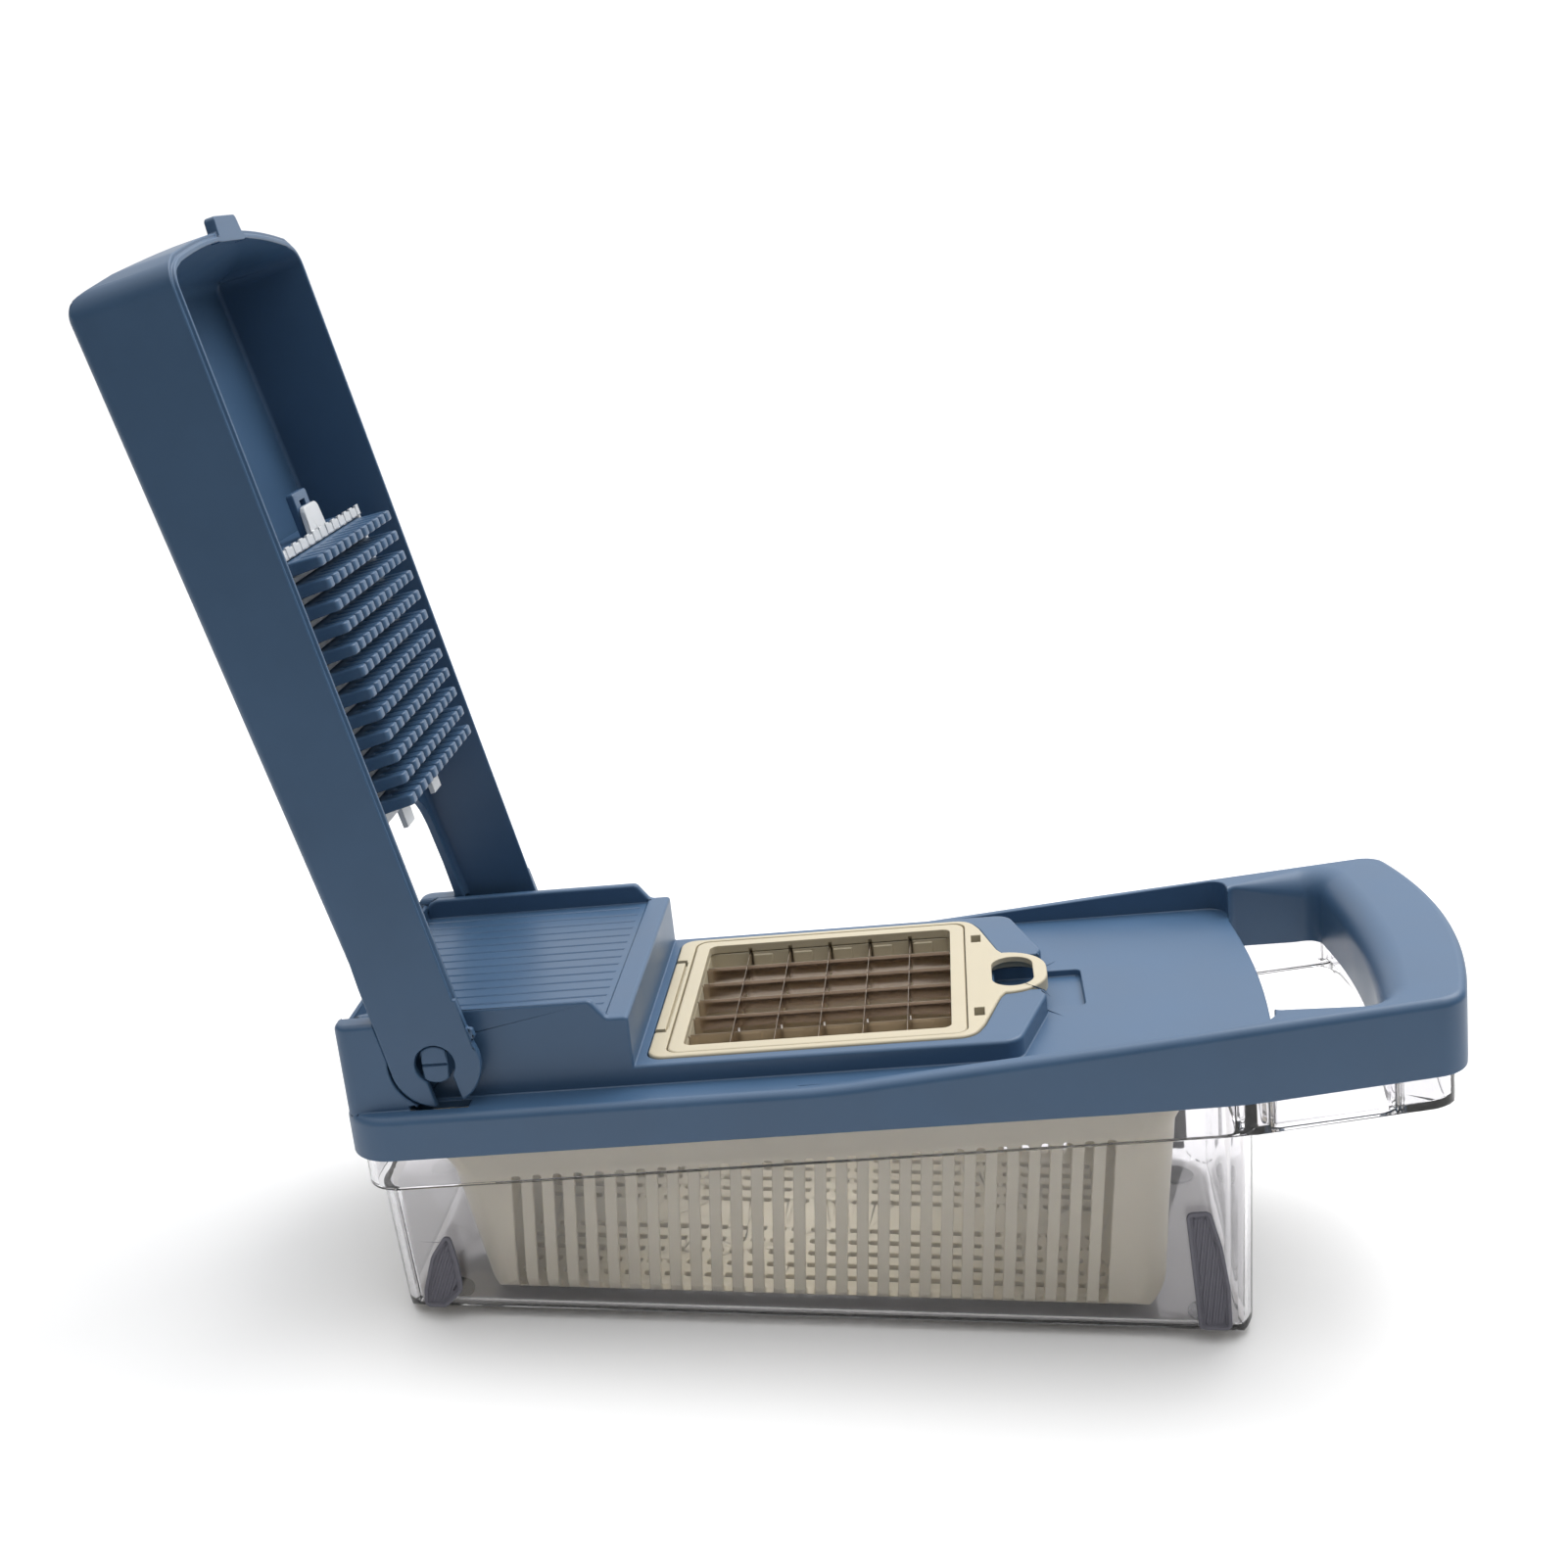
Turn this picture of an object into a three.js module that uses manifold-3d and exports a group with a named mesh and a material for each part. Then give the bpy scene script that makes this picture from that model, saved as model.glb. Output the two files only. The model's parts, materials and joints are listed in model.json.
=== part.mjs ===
// Vegetable dicer: a clear wedge-shaped tub with a drain basket, a lid with a blade grid and a
// slicing ramp, and a hinged press arm that carries the pusher teeth and their cleaning comb.
// Millimetres, +Z up, +X towards the handle. The lid stands on the tub at a small slope, so the
// lid, the tub walls and the basket are drawn in the lid frame: X along the lid, Z out of it.
import * as THREE from 'three';
import { mergeVertices } from 'three/addons/utils/BufferGeometryUtils.js';
import Module from 'manifold-3d';

const wasm = await Module();
wasm.setup();

// ---- driving dimensions ----------------------------------------------------------------------
const GAP = 0.3;                 // running gap between neighbouring pieces
const DEG = Math.PI / 180;
const SLOPE = 5.67 * DEG;        // lid slope above the table
const LID_HEIGHT = 42.3;         // tub step line above the table, at the tub's left end
const RISE = Math.tan(4.6 * DEG);    // the lid's handle end rises by this much per mm
const SINK = Math.tan(2 * DEG);  // mould draft of the tub
const WIDE = 70;                 // past both long sides of anything
const TALL = 60;                 // past the top of anything drawn in the lid frame

const LID_LEFT = -6.5;
const LID_RIGHT = 318;
const LID_HALF = 61.5;
const GRIP_HALF = 59.5;
const TAPER_FROM = 215;          // the sides taper from here to the grip
const TAPER_TO = 303;
const LID_WALL = 2.4;
const SKIRT_LOW = 10.7;          // skirt's lower edge
const DECK = 24.2;               // shoulder and slide plate
const RISE_FROM = 135;           // the side borders start to rise here
const LOW_RISE_FROM = 250;

const RAMP = { left: -5, ridge: 72, right: 79, half: 50, surface: 44.8, ledge: 45.6, rail: 51.2,
  railWidth: 3, grooves: 15, groovePitch: 6.1 };
const PLATFORM = { left: 76, right: 198.5, half: 50, shoulder: 189, lobe: 17, top: 30.3 };
const CHANNEL = { half: 57.2, right: 259.5, bulge: 2.4 };
const HOLE = { half: 50, right: 290 };
const RECESS = { left: 183, right: 209.5, half: 14, depth: 2.2 };

const CELL = 13;                 // dice size
const CELLS = 6;
const GRID_X = 130.9;            // centre of the blade grid
const OPENING = CELL * CELLS;
const OPENING_HALF = OPENING / 2;
const BLADE = { thick: 0.6, top: 28.4, low: 19.6, tab: 1.8, slot: 1.2 };
const INSERT = { left: 82, right: 176, half: 46, low: 26.6, top: 30.9, neck: 184.5, tab: 199.1,
  tabHalf: 15.8 };
const RETAINER = { margin: 4.5, low: 28.2 };
const WELL = { x: 44, y: 43 };   // half sizes of the hole in the lid under the insert

const HINGE = { x: 23.24, z: 37.6 };
const OPEN_ANGLE = 101.8 * DEG;  // press arm open on its stop, from the closed lid
const ARM = { half: 56.5, wall: 2.5, ear: 13.3, edge: -12.6, back: 12.2, backRise: 0.029,
  tipWall: 227, tip: 235, panel: 56, flange: 50.8 };
const PIN = { radius: 5.6, hole: 5.9, flat: 3.8, slot: 8 };

const TOOTH_PITCH = CELL / 2;
const TEETH = OPENING / TOOTH_PITCH;
const TOOTH = { tip: -16.1, root: -3.6, notch: 1.9, floor: -8.2, base: 4.2, point: 3.0 };
const TONGUE = { end: 161, half: 6.5 };           // on the pusher, in the arm frame
const COMB = { low: -5.9, high: -4.3, slot: 4.9, half: 41, clip: 156.6 };
const PUSHER = { half: 40.2, high: 11.2, low: -4.0, wall: 2.2 };

const TUB = { inset: 2.9, wall: 2, right: 252.6, half: 58, left: -0.3, floor: 1.5, thick: 2.2,
  top: 15 };
const FOOT = { radius: 6, height: 1.2, left: 18, right: 243, y: 42 };
const BASKET = { left: 20, right: 231.5, half: 54, floor: 4.8, thick: 1.8, middle: 126, slots: 29,
  slot: 2.6, pitch: 6.1, rows: 5, rowPitch: 7 };

// ---- materials -------------------------------------------------------------------------------
const finish = (color, roughness, more = {}) =>
  new THREE.MeshStandardMaterial({ color, roughness, metalness: 0, ...more });
const BLUE = finish(0x5f7f9f, 0.45);
const BEIGE = finish(0xddd5c0, 0.5);
const BASKET_BEIGE = finish(0xd2c9ac, 0.5);
const CLEAR = finish(0xc9c8cc, 0.15, { transparent: true, opacity: 0.35 });
const COMB_WHITE = finish(0xe6e8ea, 0.4, { transparent: true, opacity: 0.8 });
const GRIP_GREY = finish(0x55565c, 0.7);
const FOOT_GREY = finish(0x77777a, 0.8);
const STEEL = finish(0xc4c6c8, 0.25, { metalness: 1 });

// ---- shape helpers ---------------------------------------------------------------------------
const lidMatrix = new THREE.Matrix4().makeRotationY(-SLOPE).setPosition(0, 0, LID_HEIGHT);

// Closed geometry -> manifold solid, and back.
function solid(geometry, matrix) {
  const bare = geometry.clone();
  for (const name of Object.keys(bare.attributes)) {
    if (name !== 'position') bare.deleteAttribute(name);
  }
  if (matrix) bare.applyMatrix4(matrix);
  const merged = mergeVertices(bare, 1e-4);
  return new wasm.Manifold(new wasm.Mesh({
    numProp: 3,
    vertProperties: new Float32Array(merged.attributes.position.array),
    triVerts: new Uint32Array(merged.index.array),
  }));
}

function toGeometry(manifold) {
  const mesh = manifold.getMesh();
  const geometry = new THREE.BufferGeometry();
  const position = Float32Array.from(mesh.vertProperties);
  geometry.setAttribute('position', new THREE.BufferAttribute(position, 3));
  geometry.setIndex(new THREE.BufferAttribute(Uint32Array.from(mesh.triVerts), 1));
  geometry.computeVertexNormals();
  return geometry;
}

// Polygon whose corners [x, y, radius] are rounded with arcs.
function rounded(corners, steps = 4) {
  const points = [];
  corners.forEach(([x, y, radius = 0], i) => {
    const here = new THREE.Vector2(x, y);
    const [px, py] = corners[(i + corners.length - 1) % corners.length];
    const [nx, ny] = corners[(i + 1) % corners.length];
    const back = new THREE.Vector2(px, py).sub(here).normalize();
    const ahead = new THREE.Vector2(nx, ny).sub(here).normalize();
    if (radius === 0) return points.push(here);
    const half = Math.acos(THREE.MathUtils.clamp(back.dot(ahead), -1, 1)) / 2;
    const inward = back.clone().add(ahead).normalize();
    const centre = here.clone().addScaledVector(inward, radius / Math.sin(half));
    const start = here.clone().addScaledVector(back, radius / Math.tan(half)).sub(centre);
    const end = here.clone().addScaledVector(ahead, radius / Math.tan(half)).sub(centre);
    const turn = Math.atan2(start.cross(end), start.dot(end));
    for (let s = 0; s <= steps; s++) {
      const spin = turn * s / steps;
      points.push(start.clone().rotateAround(new THREE.Vector2(), spin).add(centre));
    }
  });
  return points;
}

const rectangle = (x0, x1, y0, y1, radius = 0) =>
  [[x0, y0, radius], [x1, y0, radius], [x1, y1, radius], [x0, y1, radius]];

const extrusion = (points, depth) =>
  new THREE.ExtrudeGeometry(new THREE.Shape(points), { depth, bevelEnabled: false });

// Upright prism of an outline in X and Y, from z0 to z1.
function prism(points, z0, z1, matrix) {
  const geometry = extrusion(points, z1 - z0);
  geometry.translate(0, 0, z0);
  return solid(geometry, matrix);
}

// Prism of an outline in X and Z, through y0 to y1.
function sidePrism(points, y0, y1, matrix) {
  const geometry = extrusion(points, y1 - y0);
  geometry.rotateX(Math.PI / 2);
  geometry.translate(0, y1, 0);
  return solid(geometry, matrix);
}

// Prism of an outline in Y and Z, through x0 to x1.
function barPrism(points, x0, x1) {
  const geometry = extrusion(points, x1 - x0);
  return solid(geometry.rotateX(Math.PI / 2).rotateZ(Math.PI / 2).translate(x0, 0, 0));
}

// Disc about an axis along Y, through y0 to y1.
function disc(x, z, radius, y0, y1, steps = 24) {
  const circle = new THREE.Path().absarc(x, z, radius, 0, 2 * Math.PI);
  return sidePrism(circle.getPoints(steps), y0, y1);
}

const box = (x0, x1, y0, y1, z0, z1, matrix) =>
  prism(rounded(rectangle(x0, x1, y0, y1)), z0, z1, matrix);
const slab = (x0, x1, side, y0, y1, z0, z1) => box(x0, x1, Math.min(side * y0, side * y1),
  Math.max(side * y0, side * y1), z0, z1);

// Solid through a stack of level outlines with equal point counts.
function loft(levels, matrix) {
  const count = levels[0].points.length;
  const position = levels.flatMap(({ points, z }) => points.flatMap(p => [p.x, p.y, z]));
  const index = [];
  for (let level = 0; level + 1 < levels.length; level++) {
    for (let i = 0; i < count; i++) {
      const a = level * count + i;
      const b = level * count + (i + 1) % count;
      index.push(a, b, b + count, a, b + count, a + count);
    }
  }
  const cap = THREE.ShapeUtils.triangulateShape(levels[0].points, []);
  const top = (levels.length - 1) * count;
  for (const [a, b, c] of cap) index.push(c, b, a, a + top, b + top, c + top);
  const geometry = new THREE.BufferGeometry();
  geometry.setAttribute('position', new THREE.Float32BufferAttribute(position, 3));
  geometry.setIndex(index);
  return solid(geometry, matrix);
}

const draftedBox = (x0, x1, half, radius, z) =>
  ({ z, points: rounded(rectangle(x0, x1, -half, half, radius), 6) });

// ---- outlines shared by the lid and the tub ----------------------------------------------------
const lidTop = x => DECK + Math.max(0, x - RISE_FROM) * RISE;
const lidLow = x => SKIRT_LOW + Math.max(0, x - LOW_RISE_FROM) * RISE;

// End arc of a plan outline, from the front corner round to the back one.
function endArc(apex, half, sag, steps) {
  const points = [];
  for (let s = 0; s <= steps; s++) {
    const y = -half + 2 * half * s / steps;
    points.push([apex - sag * (y / half) ** 2, y]);
  }
  return points;
}

function lidOutline(inset) {
  const [side, grip] = [LID_HALF - inset, GRIP_HALF + 0.4 - inset];
  const corner = 14 - inset;
  const end = endArc(LID_RIGHT - inset, GRIP_HALF - inset - 5, 7.5, 10);
  return rounded([
    [LID_LEFT + inset, -side, corner], [TAPER_FROM, -side], [TAPER_TO, -grip], ...end,
    [TAPER_TO, grip], [TAPER_FROM, side], [LID_LEFT + inset, side, corner],
  ]);
}

function holeOutline(grow) {
  const half = HOLE.half + grow;
  return rounded([
    ...endArc(CHANNEL.right + CHANNEL.bulge - grow, half - 5, CHANNEL.bulge, 6).reverse(),
    [CHANNEL.right - grow, -half, 3], [HOLE.right - 2 + grow, -half, 5],
    [HOLE.right + 1 + grow, -half / 2], [HOLE.right + 2 + grow, 0], [HOLE.right + 1 + grow, half / 2],
    [HOLE.right - 2 + grow, half, 5], [CHANNEL.right - grow, half, 3],
  ]);
}

function insertOutline(grow) {
  const { left, right, half, neck, tab, tabHalf } = INSERT;
  const frontHalf = [
    [left - grow, -half - grow, 5], [right + grow, -half - grow, 5], [right + 3.4 + grow, -38],
    [neck, -tabHalf - 3 - grow, 3], [neck + 1.5, -tabHalf - grow], [tab + grow, -tabHalf - grow, 11],
  ];
  const backHalf = frontHalf.map(([x, y, radius]) => [x, -y, radius]).reverse();
  return rounded([...frontHalf, ...backHalf], 5);
}

// Side view of the lid from zLow up to zHigh, both following the rise towards the handle.
function sideBand(low, high, x0, x1) {
  return [[x0, low(x0)], [LOW_RISE_FROM, low(LOW_RISE_FROM)], [x1, low(x1)], [x1, high(x1)],
    [RISE_FROM, high(RISE_FROM)], [x0, high(x0)]].map(([x, z]) => new THREE.Vector2(x, z));
}

// ---- lid ---------------------------------------------------------------------------------------
function lidShell() {
  const band = (low, high) => sidePrism(sideBand(low, high, -10, 322), -WIDE, WIDE);
  const body = prism(lidOutline(0), 0, TALL).intersect(band(lidLow, lidTop));
  const hollow = prism(lidOutline(LID_WALL), 0, TALL)
    .intersect(band(x => lidLow(x) - 5, x => lidTop(x) - LID_WALL));
  const side = CHANNEL.half + LID_WALL;
  const deckBelow = box(-10, CHANNEL.right + 3, -side, side, DECK - LID_WALL, TALL);
  const gripWall = prism(holeOutline(LID_WALL), lidLow(LOW_RISE_FROM) + 2.5, TALL);
  const channel = prism(rounded([[60, -CHANNEL.half], [CHANNEL.right - 6, -CHANNEL.half, 2],
    [CHANNEL.right, -CHANNEL.half, 6],
    ...endArc(CHANNEL.right + CHANNEL.bulge, HOLE.half, CHANNEL.bulge, 6),
    [CHANNEL.right, CHANNEL.half, 6], [CHANNEL.right - 6, CHANNEL.half, 2], [60, CHANNEL.half]]),
  DECK, TALL);
  return body.subtract(hollow.subtract(deckBelow).subtract(gripWall)).subtract(channel)
    .subtract(prism(holeOutline(0), 0, TALL));
}

function rampBlock() {
  const { left, right, ridge, half, surface, ledge, rail, railWidth, grooves, groovePitch } = RAMP;
  const profile = rounded([[left, DECK - 1], [right, DECK - 1], [right, ledge, 1], [ridge, ledge],
    [ridge, surface], [left + 3, surface], [left + 3, rail - 2], [left + 1.5, rail - 2, 1]]);
  const railProfile = rounded([[left, DECK - 1], [ridge, DECK - 1], [ridge, ledge], [ridge - 2, rail, 3],
    [left + 3, rail, 5]]);
  let block = sidePrism(profile, -half, half).add(sidePrism(railProfile, -half, railWidth - half))
    .add(sidePrism(railProfile, half - railWidth, half));
  for (let i = 0; i < grooves; i++) {
    const y = (i - (grooves - 1) / 2) * groovePitch;
    block = block.subtract(box(left + 4, ridge - 1, y - 0.5, y + 0.5, surface - 0.6, surface + 1));
  }
  return block;
}

// Corner blocks beside the ramp, hollowed round the arm's ears; the open arm leans on them.
function stopBlock(side) {
  const block = slab(RAMP.left, 16.5, side, RAMP.half - 1, ARM.half, DECK - 1, RAMP.rail);
  const ear = disc(HINGE.x, HINGE.z, ARM.ear + 0.6, -WIDE, WIDE);
  const seat = armBack(16) + 0.4;
  const leg = [[-2, seat], [60, seat], [60, seat - 60], [-2, seat - 60]].map(([u, v]) =>
    new THREE.Vector2(u, v).rotateAround(new THREE.Vector2(), OPEN_ANGLE)
      .add(new THREE.Vector2(HINGE.x, HINGE.z)));
  return block.subtract(ear).subtract(sidePrism(leg.reverse(), -WIDE, WIDE));
}

// Hinge stud with two flats, so that the open arm can be slipped off.
function hingeStud(side) {
  const [y0, y1] = [side * (RAMP.half - 1), side * (ARM.half - 0.4)].sort((a, b) => a - b);
  return disc(HINGE.x, HINGE.z, PIN.radius, y0, y1)
    .intersect(box(HINGE.x - PIN.flat, HINGE.x + PIN.flat, -WIDE, WIDE, 0, TALL));
}

function platform() {
  const { left, right, half, shoulder, lobe, top } = PLATFORM;
  const outline = rounded([[left, -half], [shoulder, -half, 5], [right, -lobe, 3],
    [right - 1, -lobe + 1], [right - 1, lobe - 1], [right, lobe, 3], [shoulder, half, 5], [left, half]]);
  const inner = rounded(rectangle(left + 3, 183, -half + LID_WALL, half - LID_WALL));
  return prism(outline, DECK - LID_WALL, top).subtract(prism(inner, 0, INSERT.low - LID_WALL));
}

function lidMesh() {
  const { left, right, half, depth } = RECESS;
  const recessFloor = DECK - depth;
  const rampHalf = RAMP.half - LID_WALL;
  let lid = lidShell().add(rampBlock()).add(platform()).add(
    box(PLATFORM.right - 22, right + 2, -half - 2, half + 2, recessFloor - LID_WALL, DECK));
  lid = lid.subtract(box(RAMP.left + LID_WALL, RAMP.right - LID_WALL, -rampHalf, rampHalf, 0,
    RAMP.surface - LID_WALL));
  for (const side of [-1, 1]) {
    lid = lid.add(stopBlock(side)).add(hingeStud(side))
      .subtract(slab(14, 31, side, 51.4, ARM.half, 0, DECK + 1));
  }
  const pocket = prism(insertOutline(GAP), INSERT.low - GAP, TALL);
  const well = box(GRID_X - WELL.x, GRID_X + WELL.x, -WELL.y, WELL.y, 0, TALL);
  const recess = prism(rounded(rectangle(left, right, -half, half, 1.5)), recessFloor, TALL);
  return lid.subtract(pocket).subtract(well).subtract(recess);
}

// ---- blade insert ------------------------------------------------------------------------------
const bladeLines = Array.from({ length: CELLS - 1 }, (_, i) => (i + 1 - CELLS / 2) * CELL);

// Square outline round the middle of the blade grid.
const centred = (half, radius = 0) =>
  rounded(rectangle(GRID_X - half, GRID_X + half, -half, half, radius));

// Blade seats are cut in the well's walls; the retainer frame closes them from above.
function insertFrame() {
  const ring = OPENING_HALF + RETAINER.margin + GAP;
  const wellHalf = OPENING_HALF + 2.6;
  let frame = prism(insertOutline(0), INSERT.low, INSERT.top)
    .add(prism(centred(wellHalf), BLADE.low - 1.4, INSERT.low + 1))
    .subtract(prism(centred(OPENING_HALF), 0, TALL))
    .subtract(prism(centred(ring, 4), RETAINER.low - GAP, TALL));
  const seat = OPENING_HALF + BLADE.tab + GAP;
  const slot = BLADE.slot / 2;
  const low = BLADE.low - GAP;
  for (const line of bladeLines) {
    const x = GRID_X + line;
    frame = frame.subtract(box(GRID_X - seat, GRID_X + seat, line - slot, line + slot, low, TALL))
      .subtract(box(x - slot, x + slot, -seat, seat, low, TALL));
  }
  for (const y of [-29, 29]) frame = frame.subtract(box(176.6, 179.6, y - 3, y + 3, 0, TALL));
  const finger = rounded(rectangle(182.9, 194.3, -11, 11, 5.6), 6);
  return frame.subtract(prism(finger, 0, TALL));
}

function retainer() {
  const ring = OPENING_HALF + RETAINER.margin;
  return prism(centred(ring, 4), RETAINER.low, INSERT.top)
    .subtract(prism(centred(OPENING_HALF, 2.5), 0, TALL));
}

// Strip blade with end tabs; the long ones are slotted from below, the cross ones from above.
function blade(line, isLong) {
  const { low, top, thick } = BLADE;
  const reach = OPENING_HALF + BLADE.tab;
  const edge = OPENING_HALF - 0.4;
  const tabTop = RETAINER.low - 2 * GAP;
  const outline = rounded([[-reach, low], [reach, low], [reach, tabTop], [edge, tabTop], [edge, top],
    [-edge, top], [-edge, tabTop], [-reach, tabTop]]);
  let strip = sidePrism(outline, -thick / 2, thick / 2);
  const middle = (low + top) / 2;
  for (const cross of bladeLines) {
    const [z0, z1] = isLong ? [0, middle + GAP / 2] : [middle - GAP / 2, TALL];
    strip = strip.subtract(box(cross - BLADE.slot / 2, cross + BLADE.slot / 2, -1, 1, z0, z1));
  }
  const geometry = toGeometry(strip);
  if (!isLong) geometry.rotateZ(Math.PI / 2);
  geometry.translate(isLong ? GRID_X : GRID_X + line, isLong ? line : 0, 0);
  return geometry;
}

// ---- press arm, drawn closed: X along the arm from the hinge, Z up ------------------------------
const armBack = x => ARM.back + x * ARM.backRise;

function armOutline(inset) {
  const side = ARM.half - inset;
  return rounded([[-40, -side], [ARM.tipWall - inset / 2, -side, 7 - inset / 2],
    ...endArc(ARM.tip - inset, side - 7, 4.5, 8),
    [ARM.tipWall - inset / 2, side, 7 - inset / 2], [-40, side]]);
}

function armSide(inset) {
  return rounded([[0, -30], [ARM.tip + 8, -30], [ARM.tip + 8, ARM.edge], [ARM.tip + 1 - inset, ARM.edge],
    [ARM.tip - 9 - inset, armBack(222) - inset, 8 - inset], [0, armBack(0) - inset]]);
}

function armShell() {
  const { half: side, wall, edge, flange, panel, tip } = ARM;
  const inner = side - wall;
  const inside = prism(armOutline(wall), -40, 40).intersect(sidePrism(armSide(wall), -WIDE, WIDE));
  const arch = prism(rounded([[-40, -flange], [panel, -flange, 12], [panel, flange, 12], [-40, flange]]),
    -40, 40);
  const pinHole = disc(0, 0, PIN.hole, -WIDE, WIDE);
  const pinSlot = box(-40, 0, -WIDE, WIDE, -PIN.slot / 2, PIN.slot / 2);
  const arm = prism(armOutline(0), edge, 40).intersect(sidePrism(armSide(0), -WIDE, WIDE))
    .add(disc(0, 0, ARM.ear, -side, side, 32)).subtract(inside).subtract(arch)
    .subtract(box(-40, 15, -inner, inner, -40, 40)).subtract(pinHole).subtract(pinSlot);
  const fingerTab = prism(rounded([[tip - 2, -10.2], [tip + 4.2, -9, 1.5], [tip + 4.2, 9, 1.5],
    [tip - 2, 10.2]]), edge, edge + 3.4);
  return arm.add(fingerTab);
}

// One row of teeth across the arm; each tooth is thinner towards its tip.
function toothRow() {
  const tooth = TOOTH_PITCH - TOOTH.notch;
  const profile = [[-OPENING_HALF + TOOTH.notch / 2, TOOTH.root + 1]];
  for (let i = 0; i < TEETH; i++) {
    const y0 = -OPENING_HALF + TOOTH.notch / 2 + i * TOOTH_PITCH;
    const y1 = y0 + tooth;
    if (i > 0) profile.push([y0, TOOTH.floor]);
    profile.push([y0 + 0.2, TOOTH.tip + 1], [y0 + 1, TOOTH.tip], [y1 - 1, TOOTH.tip],
      [y1 - 0.2, TOOTH.tip + 1]);
    if (i < TEETH - 1) profile.push([y1, TOOTH.floor]);
  }
  profile.push([OPENING_HALF - TOOTH.notch / 2, TOOTH.root + 1]);
  const row = extrusion(profile.map(([y, z]) => new THREE.Vector2(y, z)), TOOTH.base);
  row.translate(0, 0, -TOOTH.base / 2);
  const position = row.attributes.position;
  for (let i = 0; i < position.count; i++) {
    const depth = (TOOTH.root - position.getY(i)) / (TOOTH.root - TOOTH.tip);
    const thin = THREE.MathUtils.lerp(1, TOOTH.point / TOOTH.base, THREE.MathUtils.clamp(depth, 0, 1));
    position.setZ(i, position.getZ(i) * thin);
  }
  return row.applyMatrix4(new THREE.Matrix4().set(0, 0, 1, 0, 1, 0, 0, 0, 0, 1, 0, 0, 0, 0, 0, 1));
}

const toothX = i => GRID_X - HINGE.x + (i - (TEETH - 1) / 2) * TOOTH_PITCH;

function toothBlock() {
  const { half: side, high, low, wall } = PUSHER;
  const centre = GRID_X - HINGE.x;
  const inner = side - wall;
  let block = box(centre - side, centre + side, -side, side, low, high)
    .subtract(box(centre - inner, centre + inner, -inner, inner, low + wall, 40));
  for (let i = 0; i < TEETH; i++) block = block.add(solid(toothRow().translate(toothX(i), 0, 0)));
  // The tongue lies behind the comb's clip tab, with a slot at its end.
  const tongue = box(centre + inner, TONGUE.end, -TONGUE.half, TONGUE.half, low, low + wall)
    .subtract(box(TONGUE.end - 4.4, TONGUE.end - 2.6, -2.5, 2.5, low - 1, low + wall + 1));
  return block.add(tongue);
}

function comb() {
  const centre = GRID_X - HINGE.x;
  const { half: side, low, high, slot } = COMB;
  const root = centre + side - 2;
  const clip = rounded([[root, -8], [COMB.clip, -6.5, 2.5], [COMB.clip, 6.5, 2.5], [root, 8]]);
  let plate = prism(rounded(rectangle(centre - side, centre + side, -side, side, 3)), low, high)
    .add(prism(clip, low, high));
  for (const y of [-17, 17]) plate = plate.add(box(60.5, 70, y - 4, y + 4, low, high));
  const reach = OPENING_HALF - 0.4;
  for (let i = 0; i < TEETH; i++) {
    const x = toothX(i);
    plate = plate.subtract(box(x - slot / 2, x + slot / 2, -reach, reach, low - 1, high + 1));
  }
  return plate;
}

// ---- tub ---------------------------------------------------------------------------------------
// Body below the step line: lofted with draft in the lid frame, then trimmed level with the table.
function tubBody(inset, floor, radius) {
  const { left, right, half: side } = TUB;
  const deep = 75;
  const level = z => {
    const drawIn = inset - z * SINK;
    return draftedBox(left + drawIn, right - drawIn, side - drawIn, 12 - inset, z);
  };
  const walls = loft([level(-deep), level(8)], lidMatrix);
  const wallX = (x, z) => [x + (LID_HEIGHT - z) * Math.tan(SLOPE), z];
  const [low, high] = [floor, 140];
  const ends = sidePrism(rounded([[...wallX(left + inset + 1, low), radius],
    [...wallX(right - inset - 0.8, low), radius], wallX(right - inset + 12, high),
    wallX(left + inset - 12, high)]), -WIDE, WIDE);
  const sides = barPrism(rounded([[-side + inset + 3, low, radius], [side - inset - 3, low, radius],
    [side + 2, high], [-side - 2, high]]), -50, 350);
  return walls.intersect(ends).intersect(sides);
}

function tub() {
  const { inset, wall, right, floor, thick, top } = TUB;
  const bandLow = x => Math.max(0, x - right) * RISE;
  const bandTop = x => top + Math.max(0, x - LOW_RISE_FROM) * RISE;
  const band = (low, high) => sidePrism(rounded([[-20, low(0)], [right, low(right)], [330, low(330)],
    [330, high(330)], [LOW_RISE_FROM, high(0)], [-20, high(0)]]), -WIDE, WIDE, lidMatrix);
  const inner = inset + wall;
  const innerHalf = LID_HALF - inner;
  const rim = prism(lidOutline(inset), -5, TALL, lidMatrix).intersect(band(bandLow, bandTop));
  const mouth = prism(rounded(rectangle(LID_LEFT + inner, right - wall, -innerHalf, innerHalf, 9)),
    0, TALL, lidMatrix);
  const handGap = LID_WALL + GAP * 2;
  const trough = prism(lidOutline(inner), -5, TALL, lidMatrix)
    .intersect(band(x => bandLow(x) + wall, () => 50))
    .intersect(box(right, 330, -WIDE, WIDE, -10, TALL, lidMatrix))
    .subtract(prism(holeOutline(handGap + wall), -20, 70, lidMatrix));
  const hand = prism(holeOutline(handGap), -20, 70, lidMatrix);
  return tubBody(0, floor, 7).add(rim).subtract(trough).subtract(hand).subtract(mouth)
    .subtract(tubBody(wall, floor + thick, 5));
}

function foot(x, y) {
  const { radius, height } = FOOT;
  const profile = rounded([[0, 0], [radius - 0.4, 0], [radius, 0.4], [radius, height], [0, height]]);
  return solid(new THREE.LatheGeometry(profile, 24).rotateX(Math.PI / 2)).translate([x, y, 0]);
}

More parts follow.
